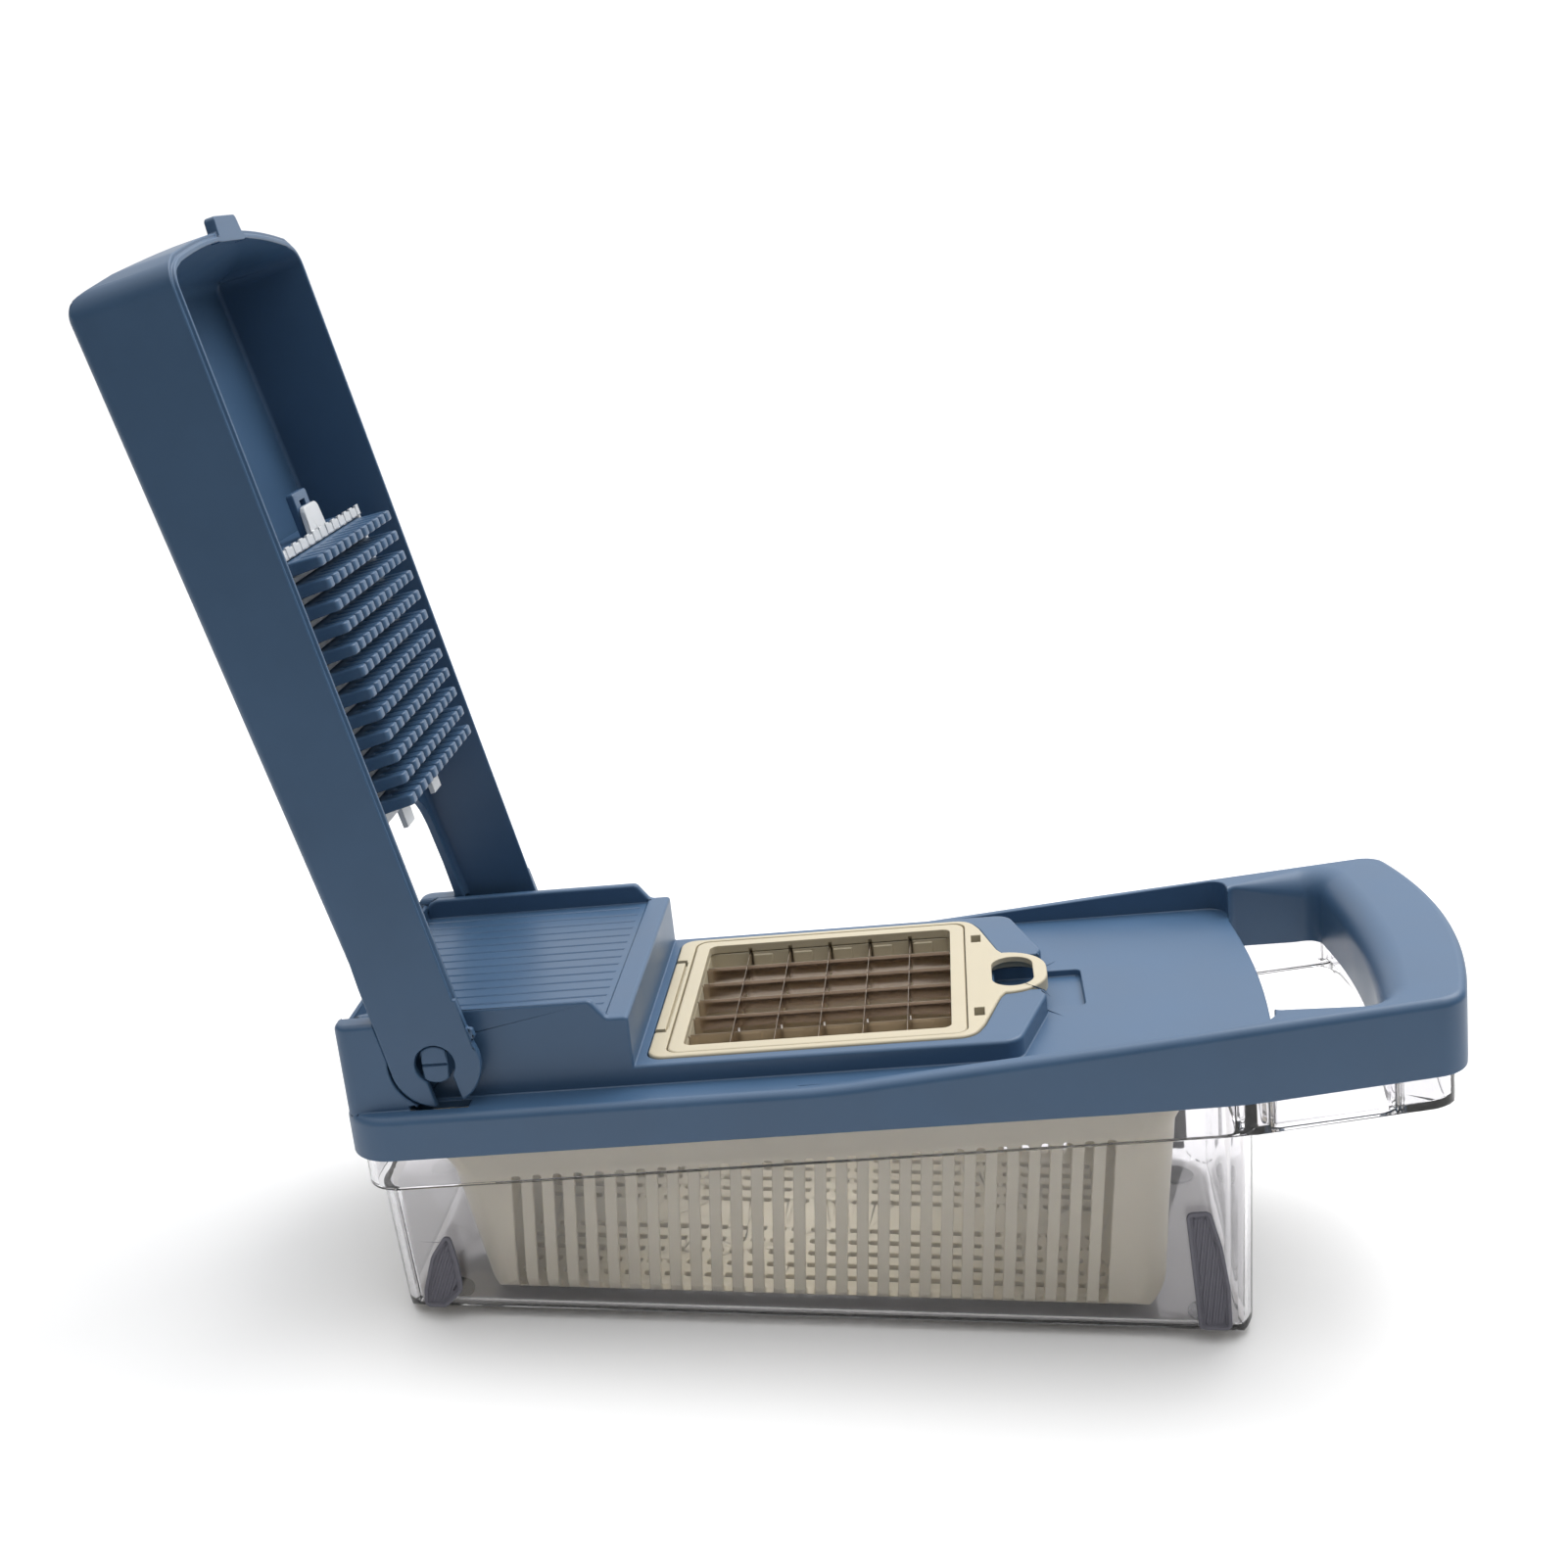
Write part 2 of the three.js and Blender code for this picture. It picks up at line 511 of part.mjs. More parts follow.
// Leaf-shaped grip pad on the tub's long walls, one near each end; x and z stand on the table.
const LEAF = {
  left: [[12.5, 5, 2], [19, 5, 2], [24.5, 11, 4], [23.5, 20], [21, 31, 1.5], [15.5, 22], [12.8, 11]],
  right: [[238.5, 5, 2], [248, 5, 2], [246.5, 19], [243.5, 32], [239.5, 43.5, 2], [232.5, 43, 2]],
};

function sideGrip(end, side) {
  const leaf = rounded(LEAF[end]);
  const middle = end === 'left' ? 18 : 241;
  const step = LID_HEIGHT + middle * Math.tan(SLOPE);
  const tilt = new THREE.Matrix4().makeRotationX(-side * 2 * DEG).setPosition(0, side * TUB.half, step);
  const thick = 1.6;
  const [y0, y1] = side < 0 ? [-thick, -2 * GAP] : [2 * GAP, thick];
  return sidePrism(leaf.map(p => new THREE.Vector2(p.x, p.y - step)), y0, y1, tilt);
}

// ---- drain basket ------------------------------------------------------------------------------
function basketBody(inset, floor, radius, high) {
  const { left, right, half: side } = BASKET;
  const walls = loft([
    draftedBox(left + 11 + inset, right - 7 - inset, side - 7 - inset, 12 - inset, -75),
    draftedBox(left + inset, right - inset, side - inset, 15 - inset, 0),
    draftedBox(left - 6 + inset, right + 6 - inset, side + 0.6 - inset, 17 - inset, 9),
    draftedBox(left - 6 + inset, right + 6 - inset, side + 0.6 - inset, 17 - inset, high),
  ], lidMatrix);
  const ends = sidePrism(rounded([[left + 7 + inset, floor, radius], [right - 1 - inset, floor, radius],
    [right + 1 - inset, 40], [right + 20, 140], [left - 40, 140], [left + 2.4 + inset, 32]]),
  -WIDE, WIDE);
  const sides = barPrism(rounded([[-side + inset + 3, floor, radius], [side - inset - 3, floor, radius],
    [side + 3, 140], [-side - 3, 140]]), -50, 350);
  return walls.intersect(ends).intersect(sides);
}

function basket() {
  const { floor, thick, middle, slots, slot, pitch, rows, rowPitch } = BASKET;
  const flangeLow = TUB.top + GAP;
  const flangeOutline = rounded(rectangle(LID_LEFT + 5, TUB.right - 0.4, -57.4, 57.4, 10));
  const flange = prism(flangeOutline, flangeLow, flangeLow + 1.6, lidMatrix);
  let shell = basketBody(0, floor, 11, flangeLow + 1).add(flange)
    .subtract(basketBody(thick, floor + thick, 9, 40));
  const first = middle - pitch * (slots - 1) / 2;
  for (let i = 0; i < slots; i++) {
    const x = first + i * pitch;
    const top = 40.5 + x * Math.tan(SLOPE);
    shell = shell.subtract(box(x - slot / 2, x + slot / 2, -WIDE, WIDE, floor + 2.5, top));
  }
  for (const group of [-1, 1]) {
    for (let row = 0; row < rows; row++) {
      const y = group * (9 + row * rowPitch);
      for (const x of [middle - 60, middle, middle + 60]) {
        shell = shell.subtract(box(x - 28, x + 28, y - 1.4, y + 1.4, 0, floor + 4));
      }
    }
  }
  return shell;
}

// ---- assembly ----------------------------------------------------------------------------------
const dicer = new THREE.Group();
const lidGroup = new THREE.Group();
lidGroup.applyMatrix4(lidMatrix);
const armGroup = new THREE.Group();
armGroup.position.set(HINGE.x, 0, HINGE.z);
armGroup.rotation.y = -OPEN_ANGLE;
lidGroup.add(armGroup);
dicer.add(lidGroup);

function place(parent, name, shape, material) {
  const mesh = new THREE.Mesh(shape.isBufferGeometry ? shape : toGeometry(shape), material);
  mesh.name = name;
  parent.add(mesh);
}

place(dicer, 'tub', tub(), CLEAR);
for (const [end, x] of [['left', FOOT.left], ['right', FOOT.right]]) {
  for (const [side, sign] of [['front', -1], ['back', 1]]) {
    place(dicer, `foot_${side}_${end}`, foot(x, sign * FOOT.y), FOOT_GREY);
    place(dicer, `grip_${side}_${end}`, sideGrip(end, sign), GRIP_GREY);
  }
}
place(dicer, 'drain_basket', basket(), BASKET_BEIGE);
place(lidGroup, 'lid', lidMesh(), BLUE);
place(lidGroup, 'insert_frame', insertFrame(), BEIGE);
place(lidGroup, 'blade_retainer', retainer(), BEIGE);
bladeLines.forEach((line, i) => {
  place(lidGroup, `blade_long_${i + 1}`, blade(line, true), STEEL);
  place(lidGroup, `blade_cross_${i + 1}`, blade(line, false), STEEL);
});
place(armGroup, 'press_arm', armShell(), BLUE);
place(armGroup, 'tooth_block', toothBlock(), BLUE);
place(armGroup, 'cleaning_comb', comb(), COMB_WHITE);

// Origin at the middle of the bounding box's underside.
dicer.updateMatrixWorld(true);
const bounds = new THREE.Box3().setFromObject(dicer, true);
const centre = bounds.getCenter(new THREE.Vector3());
dicer.position.set(-centre.x, -centre.y, -bounds.min.z);
dicer.updateMatrixWorld(true);

export default dicer;
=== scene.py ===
import json
import math

import bmesh
import bpy
from mathutils import Matrix, Vector


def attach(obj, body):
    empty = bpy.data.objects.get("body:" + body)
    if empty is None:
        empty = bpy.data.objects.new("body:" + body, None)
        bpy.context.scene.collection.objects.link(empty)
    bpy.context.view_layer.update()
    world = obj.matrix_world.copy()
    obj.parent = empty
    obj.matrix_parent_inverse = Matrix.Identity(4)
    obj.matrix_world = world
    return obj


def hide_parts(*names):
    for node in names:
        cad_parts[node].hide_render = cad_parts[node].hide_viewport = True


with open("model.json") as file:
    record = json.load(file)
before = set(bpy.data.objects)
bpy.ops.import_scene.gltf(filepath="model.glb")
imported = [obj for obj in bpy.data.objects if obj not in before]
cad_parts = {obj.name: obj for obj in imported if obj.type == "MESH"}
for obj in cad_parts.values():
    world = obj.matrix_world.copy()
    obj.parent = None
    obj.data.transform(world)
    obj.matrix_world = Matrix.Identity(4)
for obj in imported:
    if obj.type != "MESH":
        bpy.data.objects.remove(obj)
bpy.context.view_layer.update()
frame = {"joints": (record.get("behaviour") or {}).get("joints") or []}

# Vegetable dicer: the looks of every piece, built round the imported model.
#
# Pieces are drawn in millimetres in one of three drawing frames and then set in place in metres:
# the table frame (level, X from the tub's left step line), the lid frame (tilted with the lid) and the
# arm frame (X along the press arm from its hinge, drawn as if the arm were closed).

bl_info = {
    "name": "Vegetable dicer",
    "version": (1, 0, 0),
    "blender": (4, 5, 0),
    "location": "3D View > Sidebar > Dicer",
    "description": "Builds the pieces of a press-arm vegetable dicer round its packed frame",
    "category": "Object",
}

MM = 0.001
JOINTS = {joint["name"]: joint for joint in frame["joints"]}

# ---- dimensions in millimetres, as the frame has them ------------------------------------------
LIFT_AXIS = Vector(JOINTS["lid_lift"]["axis"])
SLOPE = math.atan2(-LIFT_AXIS.x, LIFT_AXIS.z)
HINGE = (23.24, 37.6)             # hinge in the lid frame, X and Z
OPEN_ANGLE = math.radians(JOINTS["arm_hinge"]["range_deg"][1])
LID_LEFT, LID_RIGHT, LID_HALF, GRIP_HALF, LID_WALL = -6.5, 318.0, 61.5, 59.5, 2.4
SKIRT_LOW, DECK = 10.7, 24.2
RISE = math.tan(math.radians(4.6))
RISE_FROM, LOW_RISE_FROM = 135.0, 250.0
RAMP_LEFT, RIDGE, RAMP_RIGHT, RAMP_HALF = -5.0, 72.0, 79.0, 50.0
RAMP_SURFACE, RAMP_LEDGE, RAIL, RAIL_WIDTH = 44.8, 45.6, 51.2, 3.0
PLATFORM_RIGHT, PLATFORM_SHOULDER, PLATFORM_LOBE, PLATFORM_TOP = 198.5, 189.0, 17.0, 30.3
CHANNEL_HALF, CHANNEL_RIGHT, CHANNEL_BULGE = 57.2, 259.5, 2.4
HOLE_HALF, HOLE_RIGHT = 50.0, 290.0
CELL, CELLS, GRID_X = 13.0, 6, 130.9
OPENING = CELL * CELLS / 2
BLADE_THICK, BLADE_TOP, BLADE_LOW, BLADE_TAB, BLADE_SLOT = 0.6, 28.4, 19.6, 1.8, 1.2
INSERT_LEFT, INSERT_RIGHT, INSERT_HALF, INSERT_LOW, INSERT_TOP = 82.0, 176.0, 46.0, 26.6, 30.9
TAB_RIGHT, TAB_HALF = 199.1, 15.8
RING = OPENING + 4.5
RING_LOW = 28.2
ARM_HALF, ARM_WALL, EAR, ARM_EDGE, ARM_BACK, ARM_SLANT = 56.5, 2.5, 13.3, -12.6, 12.2, 0.029
ARM_TIP_WALL, ARM_TIP, ARM_PANEL, ARM_FLANGE = 227.0, 235.0, 56.0, 50.8
PITCH = CELL / 2
TEETH = 12
STUD_RADIUS, STUD_FLAT, STUD_HOLE, STUD_SLOT = 5.6, 3.8, 5.9, 4.0
TOOTH_TIP, TOOTH_ROOT, TOOTH_FLOOR = -16.1, -3.6, -8.2
PUSHER_HALF, PUSHER_LOW, PUSHER_HIGH = 40.2, -4.0, 11.2
TONGUE_END = 161.0                # tongue of the pusher, behind the comb's clip tab
COMB_LOW, COMB_HIGH, COMB_HALF, COMB_CLIP = -5.9, -4.3, 41.0, 156.6
TUB_LEFT, TUB_RIGHT, TUB_HALF, TUB_INSET, TUB_WALL = -0.3, 252.6, 58.0, 2.9, 2.0
TUB_FLOOR, TUB_THICK, TUB_TOP = 1.5, 2.2, 15.0
SINK = math.tan(math.radians(2))
FOOT_RADIUS, FOOT_Y = 6.0, 42.0
FOOT_X = {"left": 18.0, "right": 243.0}
BASKET_LEFT, BASKET_RIGHT, BASKET_HALF, BASKET_FLOOR, BASKET_THICK = 20.0, 231.5, 54.0, 4.8, 1.8
GAP = 0.3
TALL = 60.0                       # past the top of anything drawn in the lid frame
WIDE = 70.0                       # past both sides of anything

# ---- drawing frames ----------------------------------------------------------------------------
HINGE_AT = Vector(JOINTS["arm_hinge"]["pos_m"]) / MM
TILT = Matrix.Rotation(-SLOPE, 4, "Y")
LID_ORIGIN = HINGE_AT - TILT @ Vector((HINGE[0], 0, HINGE[1]))
LID_TILT = Matrix.Translation((0, 0, LID_ORIGIN.z)) @ TILT
TABLE = Matrix.Scale(MM, 4) @ Matrix.Translation((LID_ORIGIN.x, 0, 0))
LID = TABLE @ LID_TILT
ARM = LID @ Matrix.Translation((HINGE[0], 0, HINGE[1])) @ Matrix.Rotation(-OPEN_ANGLE, 4, "Y")


def linear(hex_colour):
    """An sRGB hex colour as linear red, green and blue."""
    parts = [int(hex_colour[i:i + 2], 16) / 255 for i in (0, 2, 4)]
    return tuple(p / 12.92 if p <= 0.04045 else ((p + 0.055) / 1.055) ** 2.4 for p in parts)


# ---- settings ----------------------------------------------------------------------------------
def colour_setting(name, description, hex_colour):
    """A colour that the user can change."""
    return bpy.props.FloatVectorProperty(name=name, description=description, subtype="COLOR", min=0, max=1,
                                         default=linear(hex_colour))


def length_setting(name, description, default, low, high):
    """A length that the user can change; the three lengths are in millimetres."""
    return bpy.props.FloatProperty(name=name, description=description, default=default * MM,
                                   min=low * MM, max=high * MM, unit="LENGTH")


# ---- outlines ----------------------------------------------------------------------------------
def rounded(corners, steps=8):
    """Polygon whose corners (x, y, radius) are rounded with arcs; a corner without a radius is sharp."""
    points = []
    for i, corner in enumerate(corners):
        here = Vector(corner[:2])
        radius = corner[2] if len(corner) > 2 else 0
        if not radius:
            points.append(here)
            continue
        back = (Vector(corners[i - 1][:2]) - here).normalized()
        ahead = (Vector(corners[(i + 1) % len(corners)][:2]) - here).normalized()
        half = back.angle(ahead) / 2
        centre = here + (back + ahead).normalized() * (radius / math.sin(half))
        start = here + back * (radius / math.tan(half)) - centre
        end = here + ahead * (radius / math.tan(half)) - centre
        turn = math.atan2(start.x * end.y - start.y * end.x, start.dot(end))
        for step in range(steps + 1):
            spin = Matrix.Rotation(turn * step / steps, 2)
            points.append(centre + spin @ start)
    return [p for i, p in enumerate(points) if (p - points[i - 1]).length > 1e-3]


def rectangle(x0, x1, y0, y1, radius=0):
    return rounded([(x0, y0, radius), (x1, y0, radius), (x1, y1, radius), (x0, y1, radius)])


def circle(x, y, radius, steps=48):
    return [Vector((x + radius * math.cos(2 * math.pi * i / steps),
                    y + radius * math.sin(2 * math.pi * i / steps))) for i in range(steps)]


def end_arc(apex, half, sag, steps=20):
    """Bulging end of a plan outline, from its front corner round to the back one."""
    ys = [-half + 2 * half * i / steps for i in range(steps + 1)]
    return [(apex - sag * (y / half) ** 2, y) for y in ys]


def shrink(outline, inset):
    """The outline moved in by a distance, point for point."""
    moved = []
    for i, here in enumerate(outline):
        before = (here - outline[i - 1]).normalized()
        after = (outline[(i + 1) % len(outline)] - here).normalized()
        n0, n1 = Vector((-before.y, before.x)), Vector((-after.y, after.x))
        moved.append(here + (n0 + n1) * (inset / max(0.2, 1 + n0.dot(n1))))
    return moved


# ---- meshes ------------------------------------------------------------------------------------
def loft(levels):
    """Closed skin through levels of 3D points with equal counts."""
    count = len(levels[0])
    faces = [tuple(range(count))[::-1], tuple(range(len(levels) * count - count, len(levels) * count))]
    for level in range(len(levels) - 1):
        for i in range(count):
            a, b = level * count + i, level * count + (i + 1) % count
            faces.append((a, b, b + count, a + count))
    mesh = bpy.data.meshes.new("draft")
    mesh.from_pydata([tuple(p) for level in levels for p in level], [], faces)
    draft = bmesh.new()
    draft.from_mesh(mesh)
    bmesh.ops.recalc_face_normals(draft, faces=draft.faces)
    draft.to_mesh(mesh)
    draft.free()
    return mesh


def flat(outline, z):
    return [(p[0], p[1], z) for p in outline]


def prism(outline, low, high, soft_low=0.0, soft_high=0.0, steps=4):
    """Upright prism whose rims are rounded by soft_low and soft_high."""
    turns = [math.pi / 2 * s / steps for s in range(steps)]
    levels = [flat(shrink(outline, soft_low * (1 - math.sin(t))), low + soft_low * (1 - math.cos(t)))
              for t in turns if soft_low]
    levels += [flat(outline, low + soft_low), flat(outline, high - soft_high)]
    levels += [flat(shrink(outline, soft_high * (1 - math.sin(t))), high - soft_high * (1 - math.cos(t)))
               for t in reversed(turns) if soft_high]
    return loft(levels)


def side_prism(outline, y0, y1, soft_low=0.0, soft_high=0.0):
    """Prism of an outline in X and Z from y0 to y1."""
    mesh = prism(outline, -y1, -y0, soft_high, soft_low)
    mesh.transform(Matrix.Rotation(math.pi / 2, 4, "X"))
    return mesh


def bar_prism(outline, x0, x1, soft=0.0):
    """Prism of an outline in Y and Z from x0 to x1."""
    mesh = prism(outline, x0, x1, soft, soft)
    mesh.transform(Matrix(((0, 0, 1, 0), (1, 0, 0, 0), (0, 1, 0, 0), (0, 0, 0, 1))))
    return mesh


def box(x0, x1, y0, y1, z0, z1, soft=0.0):
    return prism(rectangle(min(x0, x1), max(x0, x1), min(y0, y1), max(y0, y1), soft), z0, z1, 0, soft)


def gather(meshes):
    """One mesh of several separate shells."""
    draft = bmesh.new()
    for mesh in meshes:
        draft.from_mesh(mesh)
    whole = bpy.data.meshes.new("draft")
    draft.to_mesh(whole)
    draft.free()
    return whole


def combine(base, operation, *others):
    """Joins (UNION), cuts (DIFFERENCE) or trims (INTERSECT) a closed mesh with others in turn."""
    for other in others:
        host, tool = bpy.data.objects.new("host", base), bpy.data.objects.new("tool", other)
        for drafted in (host, tool):
            bpy.context.scene.collection.objects.link(drafted)
        step = host.modifiers.new("combine", "BOOLEAN")
        step.operation, step.solver, step.object = operation, "MANIFOLD", tool
        solid = host.evaluated_get(bpy.context.evaluated_depsgraph_get())
        base = bpy.data.meshes.new_from_object(solid)
        if not base.polygons:
            raise RuntimeError(f"{operation} left nothing of the piece")
        bpy.data.objects.remove(host)
        bpy.data.objects.remove(tool)
    return base


def join(base, *others):
    return combine(base, "UNION", *others)


def cut(base, *others):
    return combine(base, "DIFFERENCE", *others)


def trim(base, *others):
    return combine(base, "INTERSECT", *others)


def placed(mesh, matrix):
    mesh.transform(matrix)
    return mesh


def reshape(mesh, move):
    for vertex in mesh.vertices:
        vertex.co = move(vertex.co)
    return mesh


def sliced(mesh, places):
    """The mesh with an edge loop round it at each X, so that it can bend there."""
    draft = bmesh.new()
    draft.from_mesh(mesh)
    for x in places:
        bmesh.ops.bisect_plane(draft, geom=draft.verts[:] + draft.edges[:] + draft.faces[:],
                               plane_co=(x, 0, 0), plane_no=(1, 0, 0))
    draft.to_mesh(mesh)
    draft.free()
    return mesh


def add_piece(name, mesh, place, finish, body, nodes, edge=0.35, segments=2):
    """A finished piece: set in place, its edges softened by edge mm, riding on its body."""
    mesh.transform(place)
    draft = bmesh.new()
    draft.from_mesh(mesh)
    bmesh.ops.remove_doubles(draft, verts=draft.verts, dist=0.004 * MM)
    bmesh.ops.dissolve_degenerate(draft, edges=draft.edges, dist=0.004 * MM)
    bmesh.ops.triangulate(draft, faces=[face for face in draft.faces if len(face.verts) > 4])
    draft.to_mesh(mesh)
    draft.free()
    mesh.name = name
    mesh.materials.clear()
    mesh.materials.append(finish)
    mesh.shade_smooth()
    mesh.set_sharp_from_angle(angle=math.radians(34))
    piece = bpy.data.objects.new(name, mesh)
    bpy.context.scene.collection.objects.link(piece)
    if edge:
        soft = piece.modifiers.new("Soft edges", "BEVEL")
        soft.width = edge * MM
        soft.segments = segments
        soft.limit_method = "ANGLE"
        soft.angle_limit = math.radians(38)
        soft.use_clamp_overlap = False
        weigh = piece.modifiers.new("Flat faces stay flat", "WEIGHTED_NORMAL")
        weigh.keep_sharp = True
    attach(piece, body)
    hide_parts(*nodes)
    return piece


# ---- finishes ----------------------------------------------------------------------------------
def node(tree, kind, links=None, **settings):
    """Adds a node with its settings; links gives each input a value or the socket that feeds it."""
    made = tree.nodes.new(kind)
    for name, value in settings.items():
        setattr(made, name, value)
    for name, value in (links or {}).items():
        socket = next(s for s in made.inputs if name in (s.name, s.identifier) and s.enabled)
        if isinstance(value, bpy.types.NodeSocket):
            tree.links.new(value, socket)
        else:
            socket.default_value = value
    return made


def new_finish(name):
    """An empty material with its shader and object coordinates."""
    material = bpy.data.materials.new(name)
    material.use_nodes = True
    tree = material.node_tree
    tree.nodes.clear()
    shader = node(tree, "ShaderNodeBsdfPrincipled")
    node(tree, "ShaderNodeOutputMaterial", {"Surface": shader.outputs["BSDF"]})
    coords = node(tree, "ShaderNodeTexCoord").outputs["Object"]
    return material, tree, shader, coords


def moulded(name, colour, roughness, grain_mm, depth_mm, variation=0.05):
    """Injection-moulded plastic: an even colour with faint flow clouds and a fine etched grain."""
    material, tree, shader, coords = new_finish(name)
    clouds = node(tree, "ShaderNodeTexNoise", {"Vector": coords, "Scale": 1 / (28 * MM), "Detail": 3.0})
    dark = tuple(c * (1 - variation) for c in colour) + (1,)
    light = tuple(min(1, c * (1 + variation)) for c in colour) + (1,)
    spread = node(tree, "ShaderNodeMapRange", {"Value": clouds.outputs["Fac"], "From Min": 0.3,
                                               "From Max": 0.7})
    tint = node(tree, "ShaderNodeMix", {"Factor": spread.outputs["Result"], "A_Color": dark,
                                        "B_Color": light}, data_type="RGBA")
    blend = next(s for s in tint.outputs if s.enabled)
    tree.links.new(blend, shader.inputs["Base Color"])
    grain = node(tree, "ShaderNodeTexNoise", {"Vector": coords, "Scale": 1 / (grain_mm * MM),
                                              "Detail": 2.0})
    sheen = node(tree, "ShaderNodeMapRange", {"Value": clouds.outputs["Fac"], "From Min": 0.3,
                                              "From Max": 0.7, "To Min": roughness - 0.04,
                                              "To Max": roughness + 0.04})
    tree.links.new(sheen.outputs["Result"], shader.inputs["Roughness"])
    bump = node(tree, "ShaderNodeBump", {"Height": grain.outputs["Fac"], "Distance": depth_mm * MM,
                                         "Strength": 0.5})
    tree.links.new(bump.outputs["Normal"], shader.inputs["Normal"])
    shader.inputs["IOR"].default_value = 1.49
    return material, shader


BLUE = "Blue polypropylene, moulded"


def blue_polypropylene(colour):
    """Polypropylene, moulded in an etched tool: satin, with soft wide highlights."""
    material, shader = moulded(BLUE, colour, 0.4, 0.5, 0.012)
    shader.inputs["Subsurface Weight"].default_value = 0.03
    shader.inputs["Subsurface Radius"].default_value = (0.001, 0.001, 0.0015)
    return material


def beige_polypropylene(name, colour):
    """Uncoloured-looking polypropylene, moulded smooth: a little light gets under its surface."""
    material, shader = moulded(name, colour, 0.36, 0.6, 0.008, 0.025)
    shader.inputs["Subsurface Weight"].default_value = 0.08
    shader.inputs["Subsurface Radius"].default_value = (0.002, 0.0016, 0.001)
    return material


def soft_rubber(name, colour):
    """Thermoplastic rubber, overmoulded: matt and slightly dusty."""
    return moulded(name, colour, 0.62, 0.8, 0.03, 0.08)[0]


def milky_polyethylene(colour):
    """Natural polyethylene, moulded thin: milky, and light comes through it."""
    material, shader = moulded("Natural polyethylene, moulded", colour, 0.38, 0.7, 0.01, 0.02)
    shader.inputs["Transmission Weight"].default_value = 0.3
    shader.inputs["Subsurface Weight"].default_value = 0.25
    shader.inputs["Subsurface Radius"].default_value = (0.002, 0.002, 0.002)
    return material


def clear_styrene(colour):
    """Styrene copolymer, moulded in a polished tool: glass clear with a faint smoke tint."""
    material, tree, shader, coords = new_finish("Clear styrene copolymer, polished")
    shader.inputs["Base Color"].default_value = tuple(colour) + (1,)
    shader.inputs["Transmission Weight"].default_value = 1.0
    shader.inputs["IOR"].default_value = 1.5
    flow = node(tree, "ShaderNodeTexNoise", {"Vector": coords, "Scale": 1 / (18 * MM), "Detail": 2.0})
    polish = node(tree, "ShaderNodeMapRange", {"Value": flow.outputs["Fac"], "To Min": 0.015,
                                               "To Max": 0.06})
    tree.links.new(polish.outputs["Result"], shader.inputs["Roughness"])
    ripple = node(tree, "ShaderNodeBump", {"Height": flow.outputs["Fac"], "Distance": 0.05 * MM,
                                           "Strength": 0.3})
    tree.links.new(ripple.outputs["Normal"], shader.inputs["Normal"])
    return material


def rolled_stainless(colour, roughness):
    """Stainless strip, cold rolled and polished: long fine lines along the strip."""
    material, tree, shader, coords = new_finish("Stainless steel strip, rolled and polished")
    shader.inputs["Metallic"].default_value = 1.0
    shader.inputs["Base Color"].default_value = tuple(colour) + (1,)
    stretch = node(tree, "ShaderNodeMapping", {"Vector": coords, "Scale": (40, 40, 1500)})
    lines = node(tree, "ShaderNodeTexNoise", {"Vector": stretch.outputs["Vector"], "Scale": 1.0,
                                              "Detail": 3.0})
    shine = node(tree, "ShaderNodeMapRange", {"Value": lines.outputs["Fac"], "To Min": roughness - 0.05,
                                              "To Max": roughness + 0.08})
    tree.links.new(shine.outputs["Result"], shader.inputs["Roughness"])
    bump = node(tree, "ShaderNodeBump", {"Height": lines.outputs["Fac"], "Distance": 0.01 * MM,
                                         "Strength": 0.4})
    tree.links.new(bump.outputs["Normal"], shader.inputs["Normal"])
    return material


def backdrop_paper(colour, painted_shade):
    """Matt background paper with painted shade: a grey in front, towards the camera, stands in for the dim
    front of the studio; a faint fibre mottle.
    """
    material, tree, shader, coords = new_finish("Background paper with painted shade in front")
    fibre = node(tree, "ShaderNodeTexNoise", {"Vector": coords, "Scale": 1 / (60 * MM), "Detail": 4.0})
    ramp = node(tree, "ShaderNodeMapRange", {"Value": fibre.outputs["Fac"], "To Min": 0.78,
                                             "To Max": 0.86})
    tree.links.new(ramp.outputs["Result"], shader.inputs["Roughness"])
    # Painted shade: from Y -0.5 m to -0.2 m the paper fades from the grey painted shade in front to its
    # pale colour behind, so less light bounces onto the object's front faces.
    axes = node(tree, "ShaderNodeSeparateXYZ", {"Vector": coords})
    along = node(tree, "ShaderNodeMapRange", {"Value": axes.outputs["Y"], "From Min": -0.5,
                                              "From Max": -0.2}, interpolation_type="SMOOTHSTEP")
    painted_shade_tone = node(tree, "ShaderNodeMix", {"Factor": along.outputs["Result"], "A_Color": tuple(painted_shade) + (1,),
                                        "B_Color": tuple(colour) + (1,)}, data_type="RGBA")
    tree.links.new(next(s for s in painted_shade_tone.outputs if s.enabled), shader.inputs["Base Color"])
    shader.inputs["Specular IOR Level"].default_value = 0.2
    return material


def blue(context):
    """The blue finish that the lid, the arm and the teeth share, made the first time it is asked for."""
    return bpy.data.materials.get(BLUE) or blue_polypropylene(context.scene.dicer_finishes.blue)


# ---- tub ---------------------------------------------------------------------------------------
def soft_ramp(distance, blend):
    """0 before the start and distance after it, with a curve between -blend and blend."""
    if distance <= -blend:
        return 0.0
    return distance if distance >= blend else (distance + blend) ** 2 / (4 * blend)


def rise_high(x):
    return RISE * soft_ramp(x - RISE_FROM, 10)


def rise_low(x):
    return RISE * soft_ramp(x - LOW_RISE_FROM, 6)


def follow_rise(mesh, split=14.0):
    """Lifts a level mesh so that its upper and lower parts follow the lid's rise to the handle."""
    sliced(mesh, [RISE_FROM + d for d in range(-10, 11, 2)]
           + [LOW_RISE_FROM + d for d in range(-6, 7, 2)])
    return reshape(mesh, lambda p: Vector((
        p.x, p.y, p.z + (rise_high(p.x) if p.z > split else rise_low(p.x)))))


